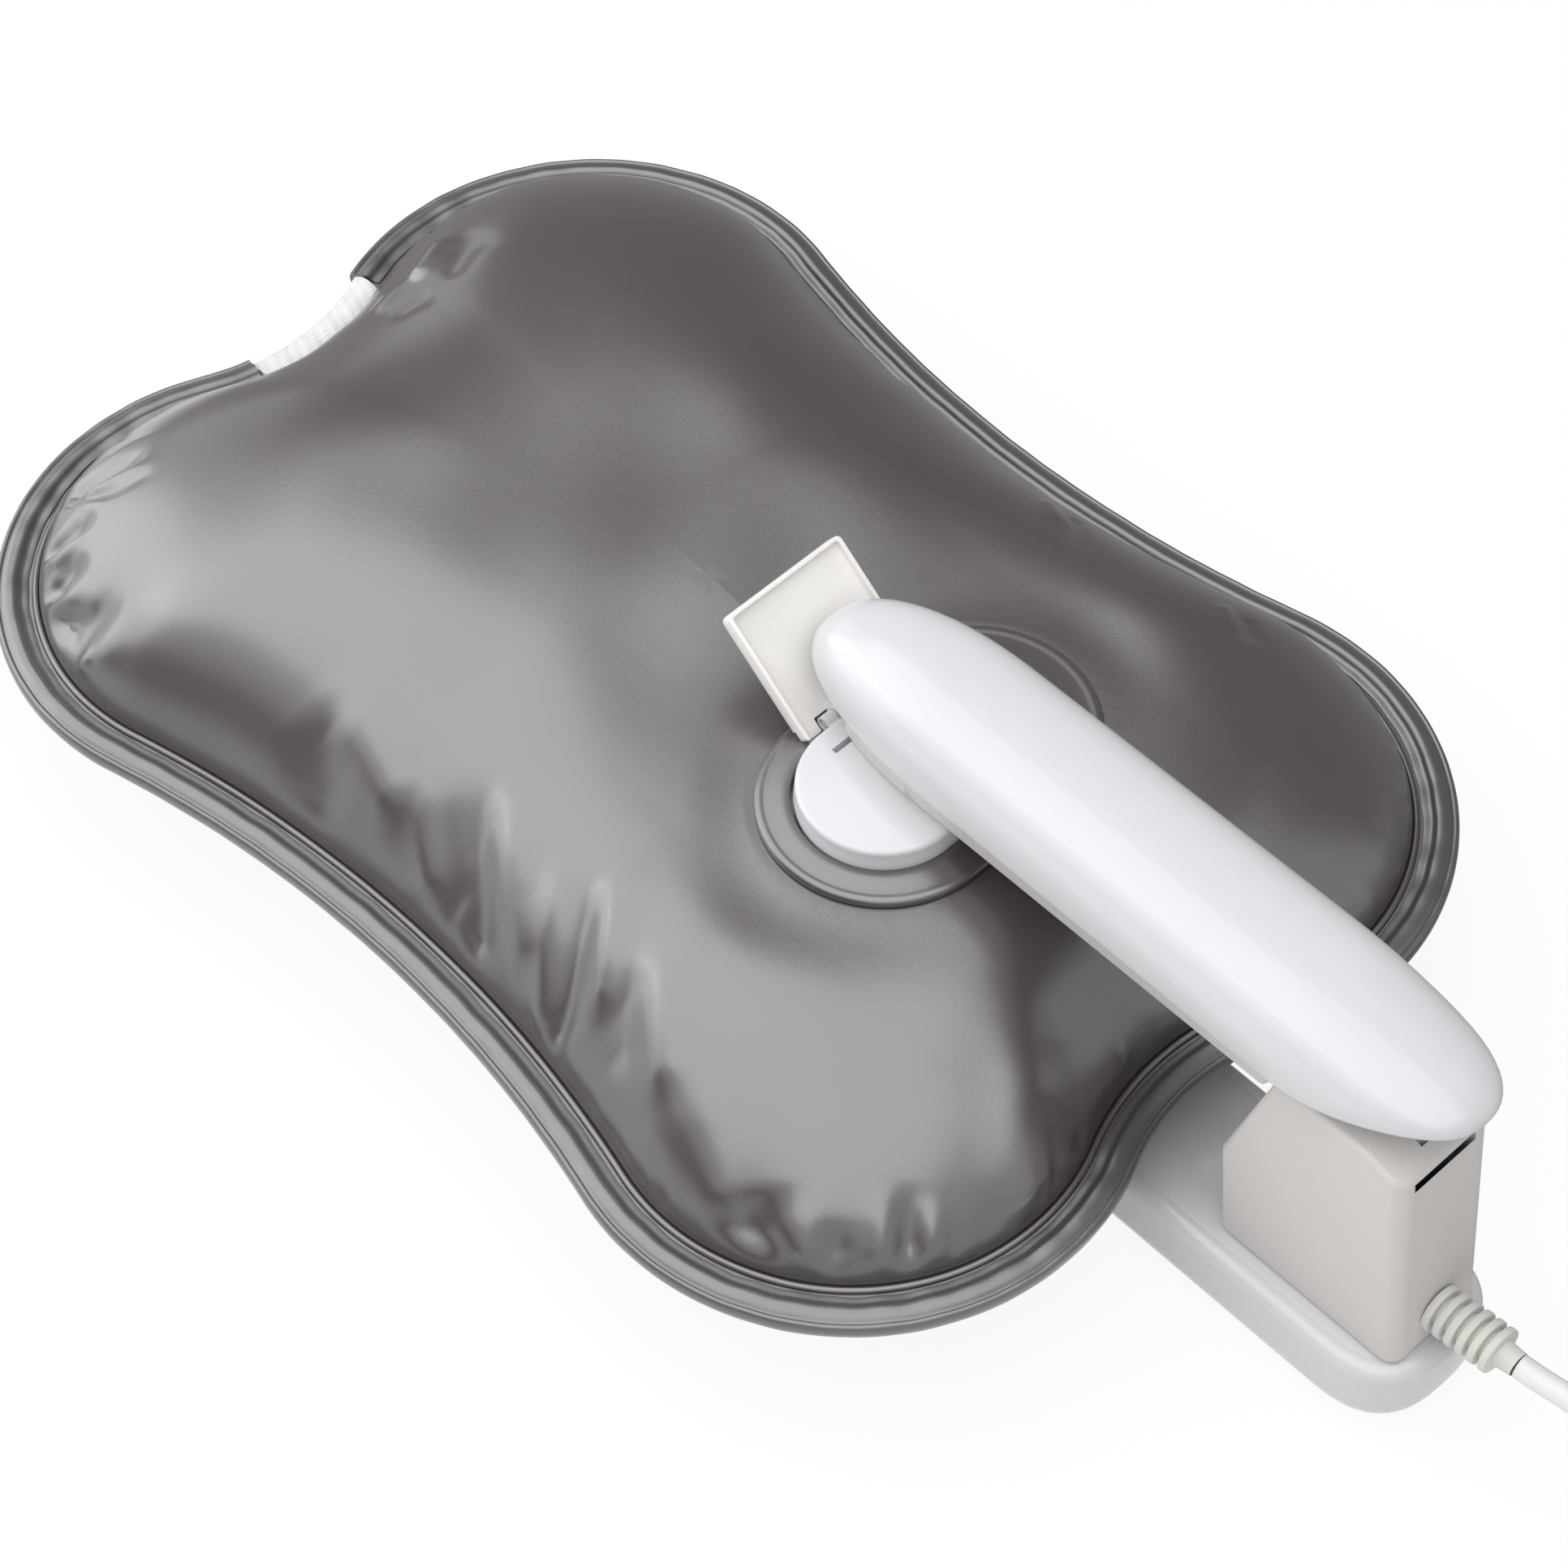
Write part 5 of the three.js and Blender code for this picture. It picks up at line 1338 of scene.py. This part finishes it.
lower_jaw = jaw_piece()
jaw_deck = drawn("jaw_top_plate", jaw_outline(3.6 * MM), 2, JAW_TOP - 1.8 * MM, JAW_TOP)
round_edges(jaw_deck, 0.35 * MM, 2, 40)
for screw in SCREWS:
    centre = (middle_of(screw).x, 0)
    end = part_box(screw)[1].z + 0.05 * MM
    join(lower_jaw, rod("post", 2, 1 * MM, JAW_TOP - 2.1 * MM, centre, 3.4 * MM))
    cut(lower_jaw, rod("head_hole", 2, -1 * MM, 2.4 * MM, centre, 3 * MM))
    cut(lower_jaw, rod("shank_hole", 2, -1 * MM, JAW_TOP, centre, 1.7 * MM))
    cut(jaw_deck, rod("hole", 2, JAW_TOP - 3 * MM, end, centre, 1.7 * MM))
settle(lower_jaw, "root", "jaw_shell", angle=35)
settle(jaw_deck, "root", "jaw_deck", angle=35)


# The port: a flange on the bag, the socket's disc with its ears, and the lid

LID_PIN = middle_of("lid_hinge_pin")
FAR_LOBE = 10 * MM
LID_LEAN = 1.1 * MM
LID_OPEN = math.radians(35)
SOCKET_TOP = SOCKET_HIGH.z


def flange_piece():
    """The welded ring: a smooth inner lip, a sloping face and a bead along its edge."""
    low, top = FLANGE_LOW.z, FLANGE_HIGH.z
    bore = 17.9 * MM
    outer = FLANGE_RADIUS * MM
    lip = ((0, -0.35), (0.15, -0.1), (0.45, 0), (2, -0.16), (3.6, -0.42))
    bead = (
        (-2.1, -0.66), (-1.7, -0.68), (-1.3, -0.62), (-0.9, -0.66), (-0.5, -0.85),
        (-0.2, -1.15), (-0.05, -1.5),
    )
    face = offsets(bore, top, lip) + offsets(outer, top, bead)
    profile = [(bore, low), *face, (outer, low)]
    piece = turned("welded_flange", profile, (PORT.x, PORT.y, 0), steps=128)
    near_lobe = LOBE_OFFSET * MM
    for vertex in piece.data.vertices:
        x, y = vertex.co.x - PORT.x, vertex.co.y - PORT.y
        if abs(y) > NEAR:
            run = clamp((math.hypot(x, y) - bore) / (outer - bore))
            vertex.co.y += -near_lobe if y < 0 else FAR_LOBE + (near_lobe - FAR_LOBE) * run
    return piece


settle(flange_piece(), "root", "port_flange", angle=40)


def socket_piece():
    """The port's disc, with the lid's ears, the slots, the plug's recess and its wells."""
    radius = 17.1 * MM
    stem = 11.4 * MM
    base = FLANGE_LOW.z + 1.3 * MM
    edge = 1.1 * MM
    profile = [(0, SOCKET_LOW.z), (stem, SOCKET_LOW.z), (stem, base)]
    profile += offsets(radius, base, ((0.2, 0), (0.2, 0.7), (0, 1)))
    for turn in round_steps(6):
        fall = edge * (1 - math.sin(turn))
        profile.append((radius - edge * (1 - math.cos(turn)), SOCKET_TOP - fall))
    profile.append((0, SOCKET_TOP))
    piece = turned("socket_disc", profile, (PORT.x, PORT.y, 0), steps=128)
    pull_halves(piece, LOBE_OFFSET * MM, FAR_LOBE)
    slot_x = PORT.x - radius
    above = SOCKET_TOP + 1 * MM
    pin = (LID_PIN.x, LID_PIN.z)
    well_span = (SOCKET_LOW.z - 1 * MM, SOCKET_TOP - 4 * MM)
    for side in (-1, 1):
        ear = sorted((side * 7.3 * MM, side * 10.3 * MM))
        web_low = (LID_PIN.x, ear[0], LID_PIN.z - 1.9 * MM)
        web = block("web", web_low, (PORT.x - radius / 2, ear[1], LID_PIN.z + 0.9 * MM))
        join(piece, web, rod("eye", 1, *ear, pin, 1.6 * MM))
        span = sorted((side * 8.9 * MM, side * 14.7 * MM))
        slot_low = (slot_x + 4.7 * MM, span[0], SOCKET_TOP - 2 * MM)
        slot = block("slot", slot_low, (slot_x + 6 * MM, span[1], above))
        cut(piece, slot, rod("well", 2, *well_span, (PORT.x, side * 4.8 * MM), 3.85 * MM))
    half = 9.4 * MM
    recess_low = (PORT.x - half, -half, ARM_BASE - 4.8 * MM)
    cut(piece, block("recess", recess_low, (PORT.x + half, half, above)))
    cut(piece, rod("bore", 1, -12 * MM, 12 * MM, pin, 1.2 * MM))
    return piece


def gasket_piece():
    """The flat ring under the disc."""
    low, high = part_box("port_gasket")
    inner, outer = 11.7 * MM, high.x - PORT.x
    profile = [(inner, low.z), (outer, low.z), (outer, high.z), (inner, high.z)]
    piece = turned("flat_gasket", profile, (PORT.x, PORT.y, 0))
    pull_halves(piece, LOBE_OFFSET * MM, FAR_LOBE)
    return piece


settle(gasket_piece(), "root", "port_gasket", angle=40)
settle(socket_piece(), "root", "socket_housing", angle=35)


def lid_piece():
    """The lid is shaped level, hinge at the middle, and then turned up and put in its ears."""
    length = 28 * MM
    half = 15.15 * MM
    start = 1.85 * MM
    rim = 0.85 * MM
    recess = 1.7 * MM
    end = 1 * MM
    notch = 10.5 * MM
    below = -5 * MM
    plate = rounded_box((-length, -half), (end, half), 1.2 * MM)
    piece = drawn("port_lid", plate, 2, -3.2 * MM, 0)
    tray = rounded_box((-length + rim, -half + rim), (9 * MM, half - rim), 0.8 * MM)
    cut(
        piece,
        drawn("tray", tray, 2, -recess, 1 * MM),
        block("notch", (-start, -notch, below), (2 * end, notch, 1 * MM)),
        block("step", (-start, -2 * half, below), (2 * end, 2 * half, -2.4 * MM)),
    )
    round_edges(piece, 0.25 * MM, 2, 40)
    for vertex in piece.data.vertices:
        vertex.co.y += LID_LEAN * max(0, -vertex.co.x) / length
    web = block("web", (-start - rim, -7 * MM, -1.9 * MM), (0, 7 * MM, -recess / 2))
    join(piece, web, rod("knuckle", 1, -7 * MM, 7 * MM, (0, 0), 1.9 * MM))
    cut(piece, rod("bore", 1, -8 * MM, 8 * MM, (0, 0), 1.2 * MM))
    raised = Matrix.Translation(LID_PIN) @ Matrix.Rotation(LID_OPEN, 4, "Y")
    piece.data.transform(raised)
    return piece


settle(lid_piece(), "lid", "socket_lid", angle=35)


# The ribbed relief, the tie round the coil and the plug

def relief_piece():
    """A sleeve of ribs with narrow gaps between them, which points up a little."""
    core = 3.3 * MM
    rib = 5.1 * MM
    round_ = 0.35 * MM
    wall = HOUSING_REAR - 0.9 * MM
    pitch = 2.7 * MM
    gap = 1 * MM
    profile = [(2.6 * MM, RELIEF_LOW.x), (3.6 * MM, RELIEF_LOW.x), (3.6 * MM, wall)]
    chamfer = 0.1 * MM
    edge = ((core, 0), (rib - round_, 0), (rib - chamfer, chamfer), (rib, round_))
    for i in range(6):
        start = wall + i * pitch
        end = start + pitch - gap
        profile += [(radius, start + inset) for radius, inset in edge]
        profile += [(radius, end - inset) for radius, inset in reversed(edge)]
    tip = RELIEF_HIGH.x
    profile += [(2.95 * MM, end + 0.1 * MM), (2.58 * MM, tip), (2.53 * MM, tip)]
    piece = turned("ribbed_relief", profile, (0, 0, RELIEF_Z), "X", 64)
    for vertex in piece.data.vertices:
        out = max(0, vertex.co.x - wall) / (tip - wall)
        vertex.co.z += RELIEF_LIFT * out
        vertex.co.y += RELIEF_LEAN * out
    return piece


settle(relief_piece(), "root", "strain_relief", angle=40)


def tie_piece():
    """A flat band round the coil."""
    low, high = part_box("coil_tie")
    thick = 0.8 * MM
    beyond = 1 * MM
    outside = rounded_box((low.x, low.z), (high.x, high.z), 3.2 * MM, 8)
    corners = (low.x + thick, low.z + thick), (high.x - thick, high.z - thick)
    inside = rounded_box(*corners, 2.4 * MM, 8)
    piece = drawn("cord_tie", outside, 1, low.y, high.y)
    cut(piece, drawn("inside", inside, 1, low.y - beyond, high.y + beyond))
    round_edges(piece, 0.25 * MM, 2, 50)
    return piece


cord_tie = settle(tie_piece(), "root", "coil_tie", angle=40)

# The plug's form: millimetres from its collar, and half its width and height there
PLUG_START = (0, 4.6, 4.6)
PLUG_SHAPE = (
    (1.2, 5.2, 5.2), (7, 5.6, 5.4), (9, 7.6, 6.6), (12, 9.2, 7.6), (15, 9.6, 7.8),
    (20, 9.4, 7.8), (23.5, 10.4, 8.3), (25.5, 11.7, 9.0), (26.5, 12, 9.1), (29.4, 12, 9.1),
    (30, 11.4, 8.5),
)


def plug_piece():
    """A moulded plug: a round collar that widens into a flat grip and a square face."""
    low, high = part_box("mains_plug_body")
    centre = (low + high) / 2
    place, wide, tall = PLUG_START
    corners = offsets(centre.x, centre.z, ((-wide, -tall), (wide, tall)))
    piece = flat_outline("mains_plug", rounded_box(*corners, 4 * MM, 8), 1, low.y)
    with Edit(piece) as edit:
        edit.all()
        for new_place, new_wide, new_tall in PLUG_SHAPE:
            edit.draw_out(y=(new_place - place) * MM)
            edit.resize(new_wide / wide, 1, new_tall / tall, centre)
            place, wide, tall = new_place, new_wide, new_tall
        edit.clean()
    return piece


def blade_piece(node):
    """A flat blade with a hole near its end."""
    low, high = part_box(node)
    piece = block(node + "_blade", low, high)
    round_edges(piece, 0.35 * MM, 2, 40)
    hole_place = (high.y - 4 * MM, (low.z + high.z) / 2)
    cut(piece, rod("hole", 0, low.x - 1 * MM, high.x + 1 * MM, hole_place, 1.4 * MM))
    return piece


mains_plug = settle(plug_piece(), "root", "mains_plug_body", angle=50)
blades = [
    settle(blade_piece(node), "root", node, angle=35)
    for node in ("mains_plug_blade_1", "mains_plug_blade_2")
]


# The tape round the bag's edge, and the label in its gap

GAP_FROM = -11.0
GAP_TO = 24.0
TAPE_TOP = (
    (0.0, 0.0), (0.08, 0.9), (0.35, 1.55), (0.8, 1.9), (1.15, 1.85), (1.4, 1.6), (1.65, 1.7),
    (1.95, 2.0), (2.5, 2.35), (3.1, 2.6), (3.8, 2.75), (4.4, 2.7), (4.9, 2.45), (5.25, 2.0),
    (5.6, 1.6), (6.3, 1.45), (7.0, 1.5), (7.4, 1.35), (7.45, 1.05),
)
TAPE_MIDDLE = 4.0
TAPE_WIDTH = 7.4
TAPE_SEED = 5
TAPE_WAVES = (23, 41, 67, 97)
TAPE_SWAY = 0.22
TAPE_PUFF = 0.12
TAPE_SWELL = 0.04
# The label's upper half: how far inside the bag's edge, and its height over the seam
LABEL_TOP = (
    (8.0, 1.15), (7.95, 1.6), (7.2, 1.95), (6.0, 2.05), (5.0, 2.05), (4.6, 1.9), (3.4, 1.5),
    (2.3, 1.2), (1.5, 0.95), (1.2, 0.3),
)
LABEL_ROOM = 0.35
LABEL_STEPS = 60


def mirrored(points):
    """A section's lower half, from its upper half."""
    return [(inset, -height) for inset, height in reversed(points)]


def strip_piece(name, rings):
    """A closed strip, from rings of points round its section and a face at each end."""
    size = len(rings[0])
    faces = ring_faces(len(rings), size)
    faces.append(tuple(range(size)))
    last = (len(rings) - 1) * size
    faces.append(tuple(last + i for i in reversed(range(size))))
    return mesh_piece(name, np.concatenate(rings), faces)


def station(outline, place):
    """A point of an outline at a place between two of its points."""
    low = int(math.floor(place))
    share = place - low
    count = len(outline)
    return outline[low % count] * (1 - share) + outline[(low + 1) % count] * share


def tape_places():
    """Places along the bag's outline, from one side of the label's gap round to the other."""
    across = bag_outline(TAPE_MIDDLE)[:, 1]
    count = len(across)

    def crossing(level, start, step):
        place = start
        while True:
            a = across[int(place) % count] - level
            b = across[int(place + step) % count] - level
            if a * b <= 0:
                return place - step * a / (b - a)
            place += step

    start = crossing(GAP_FROM, count // 2, 1)
    end = crossing(GAP_TO, count // 2, -1) + count
    places = np.concatenate([[start], np.arange(math.ceil(start), math.floor(end) + 1), [end]])
    return np.unique(np.round(places, 4)), count


def tape_piece():
    """The folded tape, a little uneven in its width and height."""
    places, count = tape_places()
    section = [*TAPE_TOP, *mirrored(TAPE_TOP[1:])]
    rng = np.random.default_rng(TAPE_SEED)
    phases = rng.uniform(0, math.tau, (3, len(TAPE_WAVES)))
    along = places / count * math.tau
    waves = [sum(np.sin(along * k + p) for k, p in zip(TAPE_WAVES, row)) / 4 for row in phases]
    outlines = {inset: (bag_outline(inset), bag_outline(inset + 1)) for inset, _ in section}
    rings = []
    for place, sway, rise, puff in zip(places, *waves):
        ring = []
        for inset, height in section:
            inner = min(1, inset / TAPE_WIDTH)
            lift = TAPE_SWAY * rise + TAPE_PUFF * puff * inner
            spot, further = (station(outline, place) for outline in outlines[inset])
            x, y = spot + (further - spot) * (TAPE_SWAY * sway * inner)
            ring.append((x, y, SEAM_HEIGHT + height * (1 + TAPE_SWELL * puff) + lift / 2))
        rings.append(ring)
    return strip_piece("edge_tape", rings)


def end_edge(inset, y):
    """Where the bag's outline lies lengthways, at places across its left end."""
    outline = bag_outline(inset)
    near = outline[(outline[:, 0] < 0) & (np.abs(outline[:, 1]) < 45)]
    order = near[:, 1].argsort()
    return np.interp(y, near[order, 1], near[order, 0])


def label_piece():
    """A folded strip of woven tape over the welded edge."""
    stations = np.linspace(GAP_FROM + LABEL_ROOM, GAP_TO - LABEL_ROOM, LABEL_STEPS)
    columns = []
    for inset, height in (*LABEL_TOP, *mirrored(LABEL_TOP)):
        wave = 0.1 * np.sin(stations * 0.9) + 0.07 * np.sin(stations * 2.3 + inset)
        tall = SEAM_HEIGHT + height + wave * (height > 0)
        columns.append(np.stack([end_edge(inset, stations), stations, tall], 1))
    return strip_piece("woven_label", np.stack(columns, 1))


settle(tape_piece(), "root", "edge_binding", angle=50)
settle(label_piece(), "root", "edge_label", angle=50)
